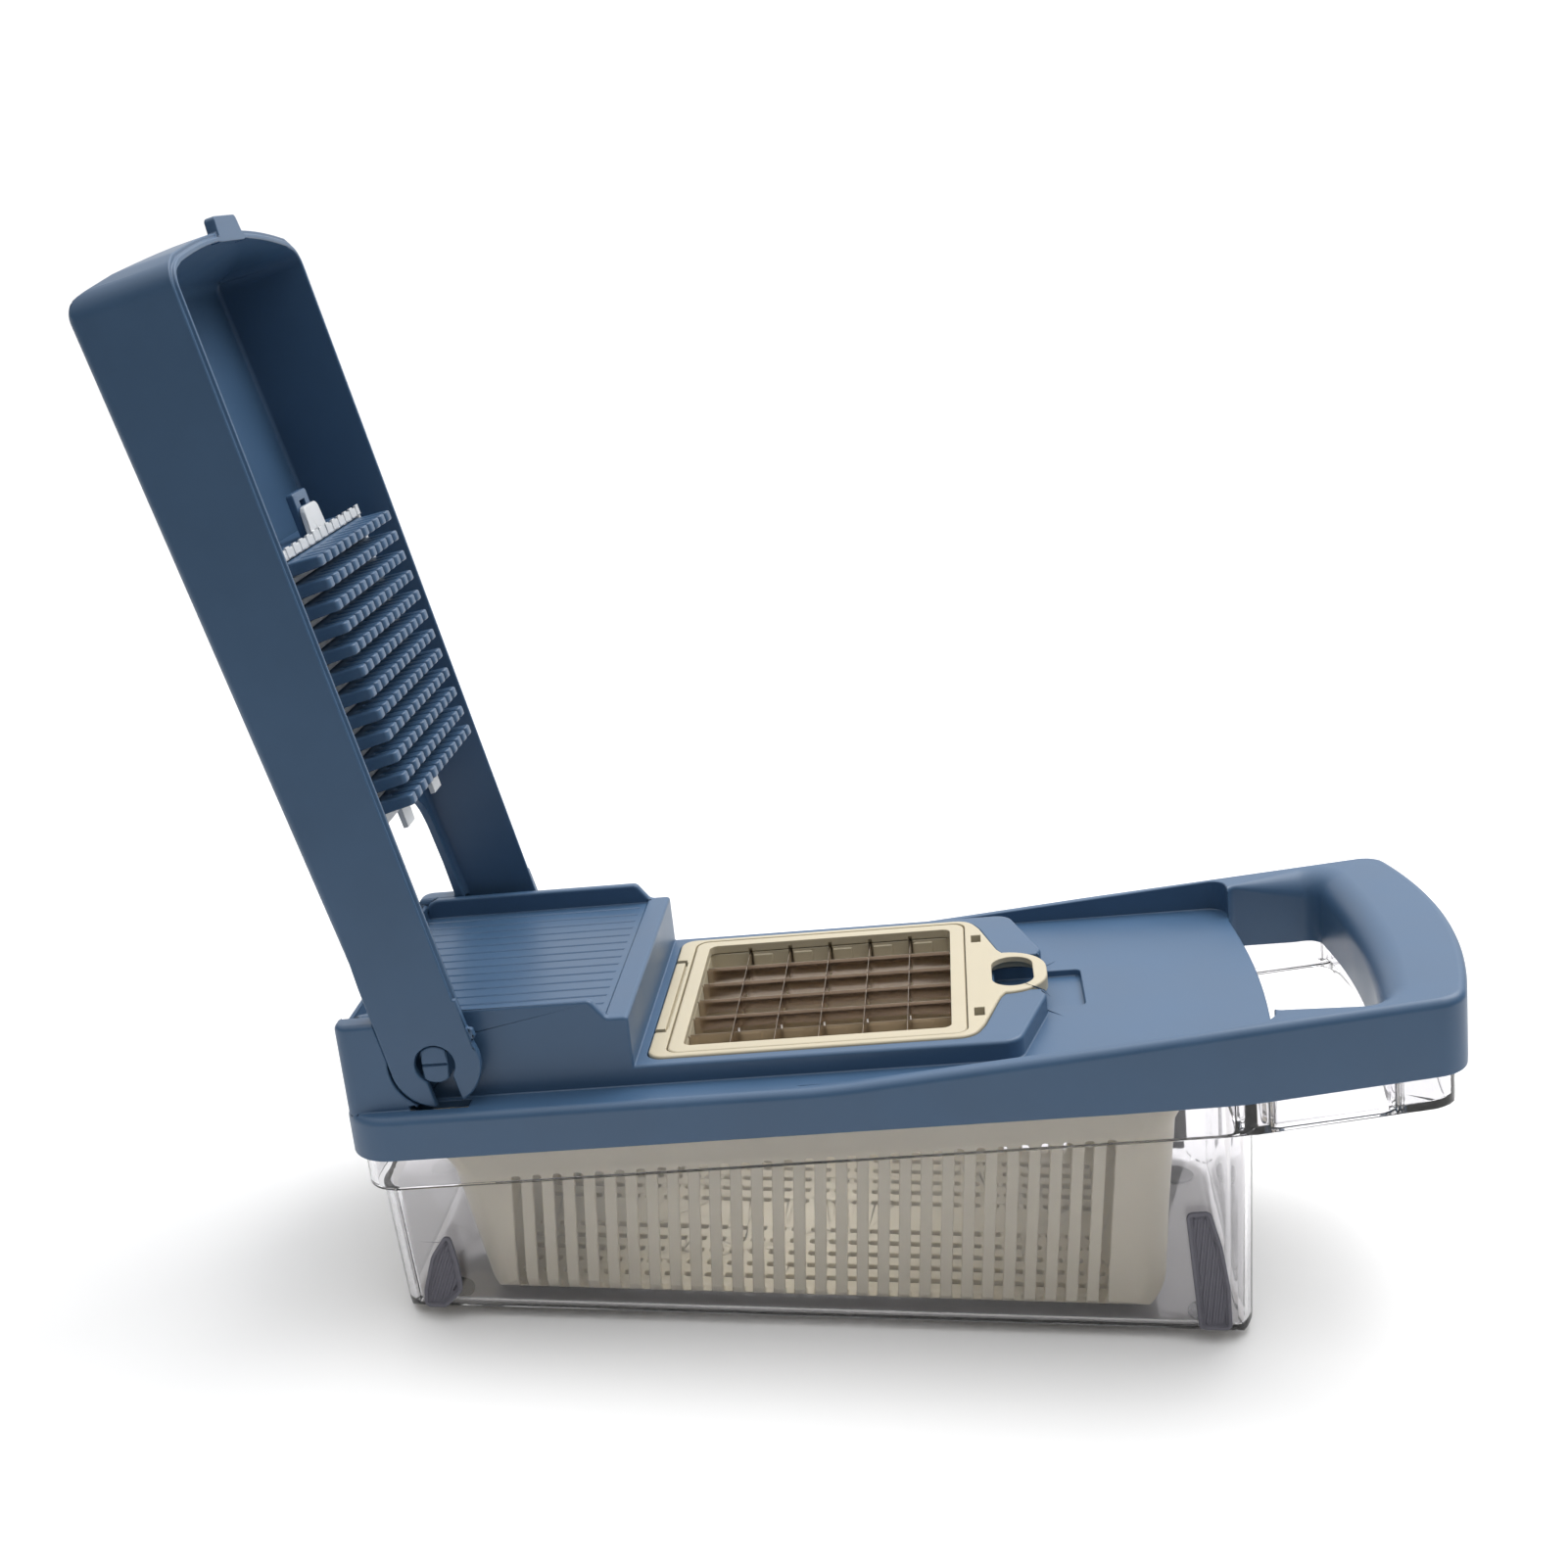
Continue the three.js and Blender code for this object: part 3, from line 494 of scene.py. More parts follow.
def lid_outline(inset=0.0):
    side, grip, corner = LID_HALF - inset, GRIP_HALF - inset, 14 - inset
    end = end_arc(LID_RIGHT - inset, 48 - inset, 5.8, 24)
    turn_x = LID_RIGHT - 8.7 - inset
    radius = 9 - 0.6 * inset
    return rounded([(LID_LEFT + inset, -side, corner), (215, -side), (turn_x, -grip, radius), *end,
                    (turn_x, grip, radius), (215, side), (LID_LEFT + inset, side, corner)], 12)


def hole_outline(grow=0.0):
    half = HOLE_HALF + grow
    lip = end_arc(CHANNEL_RIGHT + CHANNEL_BULGE - grow, half - 5, CHANNEL_BULGE, 12)[::-1]
    grip = end_arc(HOLE_RIGHT + 2 + grow, half - 7, 3, 16)
    return rounded([*lip, (CHANNEL_RIGHT - grow, -half, 3), (HOLE_RIGHT - 1.6 + grow, -half, 6), *grip,
                    (HOLE_RIGHT - 1.6 + grow, half, 6), (CHANNEL_RIGHT - grow, half, 3)])


def drafted(x0, x1, half, radius, z):
    return flat(rounded([(x0, -half, radius), (x1, -half, radius), (x1, half, radius),
                         (x0, half, radius)], 12), z)


def tub_body(inset, floor, radius):
    """Body below the step line: drafted in the lid frame, then trimmed level with the table."""
    deep, top = 75.0, 140.0
    walls = placed(loft([
        drafted(TUB_LEFT + inset + deep * SINK, TUB_RIGHT - inset - deep * SINK,
                TUB_HALF - inset - deep * SINK, 12 - inset, -deep),
        drafted(TUB_LEFT + inset - 8 * SINK, TUB_RIGHT - inset + 8 * SINK,
                TUB_HALF - inset + 8 * SINK, 12 - inset, 8)]), LID_TILT)
    lean = math.tan(SLOPE)

    def wall_x(x, z):
        return x + (LID_ORIGIN.z - z) * lean

    ends = side_prism(rounded([
        (wall_x(TUB_LEFT + inset + 1, floor), floor, radius),
        (wall_x(TUB_RIGHT - inset - 0.8, floor), floor, radius),
        (wall_x(TUB_RIGHT - inset + 12, top), top), (wall_x(TUB_LEFT + inset - 12, top), top)], 12),
        -WIDE, WIDE)
    sides = bar_prism(rounded([
        (-TUB_HALF + inset + 3, floor, radius), (TUB_HALF - inset - 3, floor, radius),
        (TUB_HALF + 2, top), (-TUB_HALF - 2, top)], 12), -50, 350)
    return trim(walls, ends, sides)


def rim_band(low, high):
    """Side view of the tub's rim, which runs on as a trough under the handle."""
    xs = [-20, TUB_RIGHT, LOW_RISE_FROM + 6, 330]
    outline = [Vector((x, low(x))) for x in xs] + [Vector((x, high(x))) for x in reversed(xs)]
    return placed(side_prism(outline, -WIDE, WIDE), LID_TILT)


def tub_mesh(bottom_round):
    def low(x):
        return max(0.0, x - TUB_RIGHT) * RISE

    def high(x):
        return TUB_TOP + max(0.0, x - LOW_RISE_FROM) * RISE

    rim = trim(placed(prism(lid_outline(TUB_INSET), -5, TALL), LID_TILT), rim_band(low, high))
    inner = TUB_INSET + TUB_WALL
    trough = trim(placed(prism(lid_outline(inner), -5, TALL), LID_TILT),
                  rim_band(lambda x: low(x) + TUB_WALL, lambda x: 50.0),
                  placed(box(TUB_RIGHT, 330, -WIDE, WIDE, -10, TALL), LID_TILT))
    hand_gap = LID_WALL + 2 * GAP
    trough = cut(trough, placed(prism(hole_outline(hand_gap + TUB_WALL), -20, 70), LID_TILT))
    hand = placed(prism(hole_outline(hand_gap), -20, 70), LID_TILT)
    mouth = placed(prism(rectangle(LID_LEFT + inner, TUB_RIGHT - TUB_WALL, -LID_HALF + inner,
                                   LID_HALF - inner, 9), 0, TALL), LID_TILT)
    body = join(tub_body(0, TUB_FLOOR, bottom_round), rim)
    body = cut(body, trough, hand, mouth, tub_body(TUB_WALL, TUB_FLOOR + TUB_THICK, bottom_round - 2))
    ribs = [placed(box(x, x + 1.2, side * 53.2, side * 57, low(x) + 1, high(x) - 1), LID_TILT)
            for x in (256, 291) for side in (-1, 1)]
    return join(body, gather(ribs))


class TubSettings(bpy.types.PropertyGroup):
    """Sizes of the clear tub."""
    bottom_round: length_setting(
        "Bottom rounding", "Radius between the tub's walls and its floor", 5.5, 3, 10)
    rim_round: length_setting("Rim rounding", "Radius along the moulded edges", 0.5, 0.1, 0.8)


class DICER_OT_tub(bpy.types.Operator):
    """Build the clear tub with its rim and the trough under the handle"""
    bl_idname = "dicer.tub"
    bl_label = "Tub"

    def execute(self, context):
        settings = context.scene.dicer_tub
        clear = clear_styrene(context.scene.dicer_finishes.clear)
        add_piece("clear_tub", tub_mesh(settings.bottom_round / MM), TABLE, clear, "tub",
                  ["tub"], settings.rim_round / MM, 3)
        return {"FINISHED"}


# ---- feet and side grips -----------------------------------------------------------------------
def foot_mesh(x, y):
    """Pressed-in rubber foot: a low button with a rounded rim and a shallow dish underneath."""
    profile = [(4.0, 0.35), (4.6, 0.1), (5.0, 0.0), (5.5, 0.05), (5.85, 0.25), (FOOT_RADIUS, 0.6),
               (FOOT_RADIUS, 1.2)]
    return loft([flat(circle(x, y, radius), z) for radius, z in profile])


GRIP_LEAF = {
    "left": [(12.5, 5, 2), (19, 5, 2), (24.5, 11, 4), (23.5, 20, 6), (21, 31, 1.5), (15.5, 22, 8),
             (12.8, 11, 4)],
    "right": [(238.5, 5, 2), (248, 5, 2), (246.5, 19, 10), (243.5, 32, 8), (239.5, 43.5, 2),
              (232.5, 43, 2)],
}


GRIP_MIDDLE = {"left": 18, "right": 241}
GRIP_TIP = {"left": 4, "right": -2}       # the corner of the leaf that its ribs run to
SIDES = {"front": -1, "back": 1}


def grip_mesh(end, side):
    """Leaf-shaped pad on a long wall near one end of the tub: a raised rim round lengthwise ribs."""
    step = LID_ORIGIN.z + GRIP_MIDDLE[end] * math.tan(SLOPE)
    leaf = [Vector((p.x, p.y - step)) for p in rounded(GRIP_LEAF[end], 8)]
    inner = shrink(leaf, 1.1)

    def layer(outline, near, far):
        return side_prism(outline, *sorted((side * near, side * far)))

    foot, tip = (Vector(GRIP_LEAF[end][corner][:2]) for corner in (0, GRIP_TIP[end]))
    along = (tip - foot).normalized()
    across = Vector((along.y, -along.x))
    ribs = []
    for i in range(-4, 8):
        start = foot + across * (1.7 * i) - Vector((0, step)) - along * 20
        corners = [start, start + across * 0.8, start + across * 0.8 + along * 80, start + along * 80]
        ribs.append(layer(rounded([tuple(c) for c in corners]), 0.7, 1.25))
    pad = layer(leaf, 2 * GAP, 1.0)
    rim = cut(layer(leaf, 0.8, 1.6), layer(inner, 0.2, 3))
    ribs = trim(gather(ribs), layer(shrink(leaf, 1.9), 0, 3))
    lean = Matrix.Rotation(math.radians(-side * 2), 4, "X")
    tilt = Matrix.Translation((0, side * TUB_HALF, step)) @ lean
    return placed(join(pad, rim, ribs), tilt)


class DICER_OT_feet(bpy.types.Operator):
    """Build the four rubber feet under the tub"""
    bl_idname = "dicer.feet"
    bl_label = "Feet"

    def execute(self, context):
        rubber = soft_rubber("Grey rubber, pressed", context.scene.dicer_finishes.foot)
        for end, x in FOOT_X.items():
            for side, sign in SIDES.items():
                name = f"foot_{side}_{end}"
                add_piece(f"rubber_{name}", foot_mesh(x, sign * FOOT_Y), TABLE, rubber, "tub",
                          [name], 0)
        return {"FINISHED"}


class DICER_OT_grips(bpy.types.Operator):
    """Build the four leaf-shaped grips on the tub's long walls"""
    bl_idname = "dicer.grips"
    bl_label = "Side grips"

    def execute(self, context):
        rubber = soft_rubber("Dark rubber, overmoulded", context.scene.dicer_finishes.grip)
        for end in FOOT_X:
            for side, sign in SIDES.items():
                name = f"grip_{side}_{end}"
                add_piece(f"ribbed_{name}", grip_mesh(end, sign), TABLE, rubber, "tub",
                          [name], 0.2)
        return {"FINISHED"}


# ---- drain basket ------------------------------------------------------------------------------
def basket_body(inset, floor, radius, high):
    """Basket's outer or inner form: drafted walls in the lid frame, rounded into a level floor."""
    side = BASKET_HALF
    walls = placed(loft([
        drafted(BASKET_LEFT + 11 + inset, BASKET_RIGHT - 7 - inset, side - 7 - inset, 12 - inset, -75),
        drafted(BASKET_LEFT + inset, BASKET_RIGHT - inset, side - inset, 15 - inset, 0),
        drafted(BASKET_LEFT - 6 + inset, BASKET_RIGHT + 6 - inset, side + 0.6 - inset, 17 - inset, 9),
        drafted(BASKET_LEFT - 6 + inset, BASKET_RIGHT + 6 - inset, side + 0.6 - inset, 17 - inset,
                high)]), LID_TILT)
    ends = side_prism(rounded([
        (BASKET_LEFT + 9.5 + inset, floor, radius), (BASKET_RIGHT - 1.6 - inset, floor, radius),
        (BASKET_RIGHT + 1 - inset, 40), (BASKET_RIGHT + 20, 140), (BASKET_LEFT - 40, 140),
        (BASKET_LEFT + 2.4 + inset, 32)], 12), -WIDE, WIDE)
    sides = bar_prism(rounded([
        (-side + inset + 3, floor, radius), (side - inset - 3, floor, radius), (side + 3, 140),
        (-side - 3, 140)], 12), -50, 350)
    return trim(walls, ends, sides)


def basket_mesh(slot, slots, dash):
    flange_low = TUB_TOP + GAP
    flange = placed(prism(rectangle(LID_LEFT + 5, TUB_RIGHT - 0.4, -57.4, 57.4, 10), flange_low,
                          flange_low + 1.6), LID_TILT)
    shell = join(basket_body(0, BASKET_FLOOR, 11, flange_low + 1), flange)
    shell = cut(shell, basket_body(BASKET_THICK, BASKET_FLOOR + BASKET_THICK, 9, 40))
    middle, pitch = 126.0, 6.1
    places = [middle + pitch * (i - (slots - 1) / 2) for i in range(slots)]
    wall_slots, dashes = [], []
    for x in places:
        top = 42.0 + x * math.tan(SLOPE)
        outline = rounded([(x - slot / 2, BASKET_FLOOR + 2.5, slot * 0.3),
                           (x + slot / 2, BASKET_FLOOR + 2.5, slot * 0.3),
                           (x + slot / 2, top, slot * 0.3), (x - slot / 2, top, slot * 0.3)], 3)
        wall_slots.append(side_prism(outline, -WIDE, WIDE))
        for row in range(5):
            for side in (-1, 1):
                y = side * (9 + 7 * row)
                dashes.append(prism(rectangle(x - dash / 2, x + dash / 2, y - 1.3, y + 1.3, 0.9), 0,
                                    BASKET_FLOOR + 4))
    return cut(shell, gather(wall_slots), gather(dashes))


class BasketSettings(bpy.types.PropertyGroup):
    """Sizes of the drain basket's openings."""
    slot: length_setting("Slot width", "Width of the slots in the long walls", 2.6, 1, 4)
    slots: bpy.props.IntProperty(
        name="Slots", description="Number of slots along each long wall", default=29, min=5, max=33)
    dash: length_setting("Dash length", "Length of the short drain slots in the floor", 4.4, 2, 5.5)


class DICER_OT_basket(bpy.types.Operator):
    """Build the slotted drain basket"""
    bl_idname = "dicer.basket"
    bl_label = "Drain basket"

    def execute(self, context):
        settings = context.scene.dicer_basket
        cream = beige_polypropylene("Cream polypropylene, moulded", context.scene.dicer_finishes.basket)
        mesh = basket_mesh(settings.slot / MM, settings.slots, settings.dash / MM)
        add_piece("slotted_basket", mesh, TABLE, cream, "basket", ["drain_basket"], 0.3)
        return {"FINISHED"}


# ---- lid ---------------------------------------------------------------------------------------
def insert_outline(grow=0.0):
    left, right, half = INSERT_LEFT - grow, INSERT_RIGHT + grow, INSERT_HALF + grow
    neck, tab, tab_half = 184.5, TAB_RIGHT + grow, TAB_HALF + grow
    return rounded([(left, -half, 5), (right, -half, 7), (right + 3.4, -38), (neck, -tab_half - 3, 3),
                    (186, -tab_half), (tab, -tab_half, 12.9), (tab, tab_half, 12.9), (186, tab_half),
                    (neck, tab_half + 3, 3), (right + 3.4, 38), (right, half, 7), (left, half, 5)], 10)


def flared_hole(small, large):
    """Cutter for the hand hole whose upper rim is rounded, most of all on the grip bar."""
    outline = hole_outline()
    outward = [b - a for a, b in zip(outline, shrink(outline, -1.0))]

    def flare(x):
        t = min(1.0, max(0.0, (x - 266) / 20))
        return small + (large - small) * t * t * (3 - 2 * t)

    levels = [flat(outline, -5.0)]
    steps = 8
    for step in range(steps + 1):
        turn = math.pi / 2 * step / steps
        levels.append([(p.x + o.x * flare(p.x) * (1 - math.cos(turn)),
                        p.y + o.y * flare(p.x) * (1 - math.cos(turn)),
                        DECK - flare(p.x) * (1 - math.sin(turn))) for p, o in zip(outline, outward)])
    levels.append([(x, y, TALL) for x, y, _ in levels[-1]])
    return follow_rise(loft(levels))


def lid_shell(settings):
    body = follow_rise(prism(lid_outline(), SKIRT_LOW, DECK, 0.6, settings.shoulder_round / MM, 6))
    hollow = follow_rise(prism(lid_outline(LID_WALL), SKIRT_LOW - 6, DECK - LID_WALL))
    side = CHANNEL_HALF + LID_WALL
    deck_below = box(-10, CHANNEL_RIGHT + 3, -side, side, DECK - LID_WALL, TALL)
    grip_wall = prism(hole_outline(LID_WALL + 2.5), SKIRT_LOW + 2.5, TALL)
    channel = prism(rounded([
        (60, -CHANNEL_HALF), (CHANNEL_RIGHT - 6, -CHANNEL_HALF, 2), (CHANNEL_RIGHT, -CHANNEL_HALF, 6),
        *end_arc(CHANNEL_RIGHT + CHANNEL_BULGE, HOLE_HALF, CHANNEL_BULGE, 16),
        (CHANNEL_RIGHT, CHANNEL_HALF, 6), (CHANNEL_RIGHT - 6, CHANNEL_HALF, 2), (60, CHANNEL_HALF)]),
        DECK, TALL)
    body = cut(body, cut(hollow, deck_below, grip_wall), channel)
    return cut(body, flared_hole(settings.lip_round / MM, settings.grip_round / MM))


def ramp_block(settings):
    core = side_prism(rounded([
        (RAMP_LEFT, DECK - 1), (RAMP_RIGHT, DECK - 1), (RAMP_RIGHT, RAMP_LEDGE, 1.2),
        (RIDGE, RAMP_LEDGE, 0.6), (RIDGE, RAMP_SURFACE), (RAMP_LEFT + 3, RAMP_SURFACE),
        (RAMP_LEFT + 3, RAIL - 2, 0.8), (RAMP_LEFT + 1.5, RAIL - 2, 1)]), -RAMP_HALF + 1.4,
        RAMP_HALF - 1.4)
    rail_side = rounded([
        (RAMP_LEFT, DECK - 1), (RAMP_RIGHT, DECK - 1), (RAMP_RIGHT, RAMP_LEDGE, 1.2),
        (RIDGE + 0.8, RAMP_LEDGE, 2.4), (RIDGE - 3.4, RAIL, 2.2), (RAMP_LEFT + 3, RAIL, 5)])
    soft = 0.9
    front = side_prism(rail_side, -RAMP_HALF, -RAMP_HALF + RAIL_WIDTH, soft, soft)
    back = side_prism(rail_side, RAMP_HALF - RAIL_WIDTH, RAMP_HALF, soft, soft)
    block = join(core, front, back)
    grooves = []
    for i in range(settings.grooves):
        y = (i - (settings.grooves - 1) / 2) * 6.1
        depth, half_width = settings.groove_depth / MM, 0.55
        outline = [Vector(p) for p in ((y - half_width, RAMP_SURFACE + 0.3),
                                       (y, RAMP_SURFACE - depth), (y + half_width, RAMP_SURFACE + 0.3))]
        grooves.append(bar_prism(outline, RAMP_LEFT + 4, RIDGE - 2.2))
    return cut(block, gather(grooves))


def arm_back(x):
    return ARM_BACK + x * ARM_SLANT


def stop_block(side):
    """Corner block beside the ramp, hollowed round the arm's ear; the open arm leans on it."""
    inner, outer = sorted((side * (RAMP_HALF - 1), side * ARM_HALF))
    corners = [(RAMP_LEFT, inner, 4 if side < 0 else 0), (16.5, inner), (16.5, outer),
               (RAMP_LEFT, outer, 4 if side > 0 else 0)]
    block = prism(rounded(corners), DECK - 1, RAIL, 0, 1.6)
    ear = side_prism(circle(HINGE[0], HINGE[1], EAR + 0.6), -WIDE, WIDE)
    along = Vector((math.cos(OPEN_ANGLE), math.sin(OPEN_ANGLE)))
    across = Vector((-along.y, along.x))
    start = Vector(HINGE) + across * (arm_back(16) + 0.4)
    corners = ((-2, 0), (-2, -60), (60, -60), (60, 0))
    leg = side_prism([start + along * u + across * v for u, v in corners], -WIDE, WIDE)
    return cut(block, ear, leg)


def hinge_stud(side):
    """Stud with two flats, a rounded end and its mould line across the end."""
    inner, outer = RAMP_HALF - 1, ARM_HALF - 0.4
    stud = side_prism(circle(HINGE[0], HINGE[1], STUD_RADIUS), *sorted((side * inner, side * outer)),
                      *((0.5, 0) if side < 0 else (0, 0.5)))
    stud = trim(stud, box(HINGE[0] - STUD_FLAT, HINGE[0] + STUD_FLAT, -WIDE, WIDE, 0, TALL))
    line = box(HINGE[0] - 5, HINGE[0] + 5, side * (outer - 0.2), side * (outer + 1), HINGE[1] - 0.15,
               HINGE[1] + 0.15)
    return cut(stud, line)


def platform(settings):
    """Raised seat of the blade insert, with two lobes beside its finger tab."""
    outline = rounded([
        (RAMP_RIGHT - 3, -RAMP_HALF), (PLATFORM_SHOULDER, -RAMP_HALF, 6),
        (PLATFORM_RIGHT, -PLATFORM_LOBE, 4),
        (PLATFORM_RIGHT - 1, -PLATFORM_LOBE + 1), (PLATFORM_RIGHT - 1, PLATFORM_LOBE - 1),
        (PLATFORM_RIGHT, PLATFORM_LOBE, 4), (PLATFORM_SHOULDER, RAMP_HALF, 6),
        (RAMP_RIGHT - 3, RAMP_HALF)])
    inner = rectangle(RAMP_RIGHT, 183, -RAMP_HALF + LID_WALL, RAMP_HALF - LID_WALL)
    seat = prism(outline, DECK - LID_WALL, PLATFORM_TOP, 0, settings.platform_round / MM)
    return cut(seat, prism(inner, 0, INSERT_LOW - LID_WALL))


def lid_mesh(settings):
    recess_depth, recess_half = 2.2, 14.0
    lid = join(lid_shell(settings), ramp_block(settings), platform(settings),
               box(PLATFORM_RIGHT - 22, 211.5, -recess_half - 2, recess_half + 2,
                   DECK - recess_depth - LID_WALL, DECK - 0.1))
    lid = cut(lid, box(RAMP_LEFT + LID_WALL, RAMP_RIGHT - LID_WALL, -RAMP_HALF + LID_WALL,
                       RAMP_HALF - LID_WALL, 0, RAMP_SURFACE - LID_WALL))
    for side in (-1, 1):
        lid = join(lid, stop_block(side), hinge_stud(side))
        lid = cut(lid, box(14, 31, side * 51.4, side * ARM_HALF, 0, DECK + 1))
    pocket = prism(insert_outline(GAP), INSERT_LOW - GAP, TALL)
    well = box(GRID_X - 44, GRID_X + 44, -43, 43, 0, TALL)
    recess = prism(rectangle(183, 209.5, -recess_half, recess_half, 2), DECK - recess_depth, TALL)
    return cut(lid, pocket, well, recess)


class LidSettings(bpy.types.PropertyGroup):
    """Sizes of the lid's rounded edges and of the ramp's grooves."""
    shoulder_round: length_setting(
        "Shoulder rounding", "Radius along the top of the skirt", 2.6, 0.5, 4)
    grip_round: length_setting(
        "Grip rounding", "Radius of the grip bar on the hand hole's side", 8.5, 2, 9)
    lip_round: length_setting("Lip rounding", "Radius at the rest of the hand hole's rim", 1.5, 0.5, 3)
    platform_round: length_setting(
        "Platform rounding", "Radius along the insert platform's upper edge", 1.2, 0.3, 3)
    grooves: bpy.props.IntProperty(
        name="Grooves", description="Number of grooves along the slicing ramp", default=15, min=1, max=15)
    groove_depth: length_setting("Groove depth", "Depth of the ramp's grooves", 0.7, 0.2, 1.5)


class DICER_OT_lid(bpy.types.Operator):
    """Build the lid with its ramp, insert platform, slide plate and carrying handle"""
    bl_idname = "dicer.lid"
    bl_label = "Lid"

    def execute(self, context):
        add_piece("moulded_lid", lid_mesh(context.scene.dicer_lid), LID, blue(context), "lid",
                  ["lid"])
        return {"FINISHED"}


# ---- blade insert ------------------------------------------------------------------------------
BLADE_LINES = [(i + 1 - CELLS / 2) * CELL for i in range(CELLS - 1)]


def centred(half, radius=0.0):
    """Square outline round the middle of the blade grid."""
    return rectangle(GRID_X - half, GRID_X + half, -half, half, radius)


def insert_mesh(settings):
    body = prism(insert_outline(), INSERT_LOW, INSERT_TOP, 0, settings.rim_round / MM)
    well_half = OPENING + 2.6
    body = join(body, prism(centred(well_half, 1.5), BLADE_LOW - 1.4, INSERT_LOW + 1))
    body = cut(body, prism(centred(OPENING, 1.2), 0, TALL),
               prism(centred(RING + GAP, 4), RING_LOW - GAP, TALL))
    tabs = []
    for line in BLADE_LINES:
        for side in (-1, 1):
            tabs.append(box(GRID_X + line + 0.9, GRID_X + line + 7, side * (OPENING - 0.5),
                            side * (OPENING + 1), BLADE_LOW + 1, RING_LOW - 1.2, 0.2))
    body = join(body, gather(tabs))
    seat, slot = OPENING + BLADE_TAB + GAP, BLADE_SLOT / 2
    for line in BLADE_LINES:
        body = cut(body, box(GRID_X - seat, GRID_X + seat, line - slot, line + slot,
                             BLADE_LOW - GAP, TALL),
                   box(GRID_X + line - slot, GRID_X + line + slot, -seat, seat, BLADE_LOW - GAP, TALL))
    finger_hole = prism(rectangle(182.4, 194.9, -11.4, 11.4, 6.1), 0, TALL)
    finger_hollow = prism(rectangle(180.6, 196.8, -13.4, 13.4, 7), 0, INSERT_TOP - 1.8)
    windows = [box(176.6, 179.6, side * 26, side * 32, 0, TALL) for side in (-1, 1)]
    notches = [box(INSERT_LEFT - 1, 85.6, side * 26, side * 28.4, 0, TALL) for side in (-1, 1)]
    seam = box(85.2, 86.0, -26.5, 26.5, INSERT_TOP - 1.2, TALL)
    return cut(body, finger_hollow, gather([finger_hole, *windows]), gather(notches), seam)


def retainer_mesh(settings):
    ring = prism(centred(RING, 4), RING_LOW, INSERT_TOP, 0, settings.rim_round / MM)
    ring = cut(ring, prism(centred(OPENING, 2.5), 0, TALL))
    notches = [box(GRID_X + line - 0.5, GRID_X + line + 0.5, side * (OPENING - 1),
                   side * (OPENING + 1.2), 0, RING_LOW + 1.1)
               for line in BLADE_LINES for side in (-1, 1)]
    return cut(ring, gather(notches))


def blade_mesh(line, is_long):
    """Strip blade ground to an edge along its top; long ones are notched below, cross ones above."""
    half, reach = BLADE_THICK / 2, OPENING + BLADE_TAB
    ground = 1.4
    knife = [Vector(p) for p in ((-half, BLADE_LOW), (half, BLADE_LOW), (half, BLADE_TOP - ground),
                                 (0.05, BLADE_TOP), (-0.05, BLADE_TOP), (-half, BLADE_TOP - ground))]
    tab_top, end = RING_LOW - 2 * GAP, OPENING - 0.4
    strip = bar_prism(knife, -reach, reach)
    corners = [box(-reach - 1, -end, -2, 2, tab_top, TALL), box(end, reach + 1, -2, 2, tab_top, TALL)]
    middle = (BLADE_LOW + BLADE_TOP) / 2
    low, high = (0, middle + GAP / 2) if is_long else (middle - GAP / 2, TALL)
    slots = [box(c - BLADE_SLOT / 2, c + BLADE_SLOT / 2, -1, 1, low, high) for c in BLADE_LINES]
    strip = cut(strip, gather(corners + slots))
    if is_long:
        return placed(strip, Matrix.Translation((GRID_X, line, 0)))
    return placed(strip, Matrix.Translation((GRID_X + line, 0, 0)) @ Matrix.Rotation(math.pi / 2, 4, "Z"))


class InsertSettings(bpy.types.PropertyGroup):
    """Sizes and polish of the blade insert."""
    rim_round: length_setting("Rim rounding", "Radius along the frame's upper edges", 0.8, 0.2, 1.5)
    roughness: bpy.props.FloatProperty(
        name="Blade roughness", description="Roughness of the polished strip", default=0.16, min=0.06,
        max=0.6, subtype="FACTOR")


class DICER_OT_insert(bpy.types.Operator):
    """Build the frame of the blade insert and its inner ring"""
    bl_idname = "dicer.insert"
    bl_label = "Insert frame"

    def execute(self, context):
        settings = context.scene.dicer_insert
        beige = beige_polypropylene("Beige polypropylene, moulded", context.scene.dicer_finishes.insert)
        add_piece("insert_body", insert_mesh(settings), LID, beige, "lid",
                  ["insert_frame"], 0.2)
        add_piece("insert_ring", retainer_mesh(settings), LID, beige, "lid",
                  ["blade_retainer"], 0.2)
        return {"FINISHED"}


class DICER_OT_blades(bpy.types.Operator):
    """Build the ten strip blades of the dicing grid"""
    bl_idname = "dicer.blades"
    bl_label = "Blades"

    def execute(self, context):
        steel = rolled_stainless(context.scene.dicer_finishes.steel, context.scene.dicer_insert.roughness)
        for number, line in enumerate(BLADE_LINES, 1):
            for kind in ("long", "cross"):
                add_piece(f"ground_blade_{kind}_{number}", blade_mesh(line, kind == "long"), LID, steel,
                          "lid", [f"blade_{kind}_{number}"], 0)
        return {"FINISHED"}


# ---- press arm ---------------------------------------------------------------------------------
def arm_outline(inset=0.0):
    side = ARM_HALF - inset
    return rounded([(-40, -side), (ARM_TIP_WALL - inset / 2, -side, 8 - inset),
                    *end_arc(ARM_TIP - inset, side - 8, 4.2, 24),
                    (ARM_TIP_WALL - inset / 2, side, 8 - inset), (-40, side)], 12)


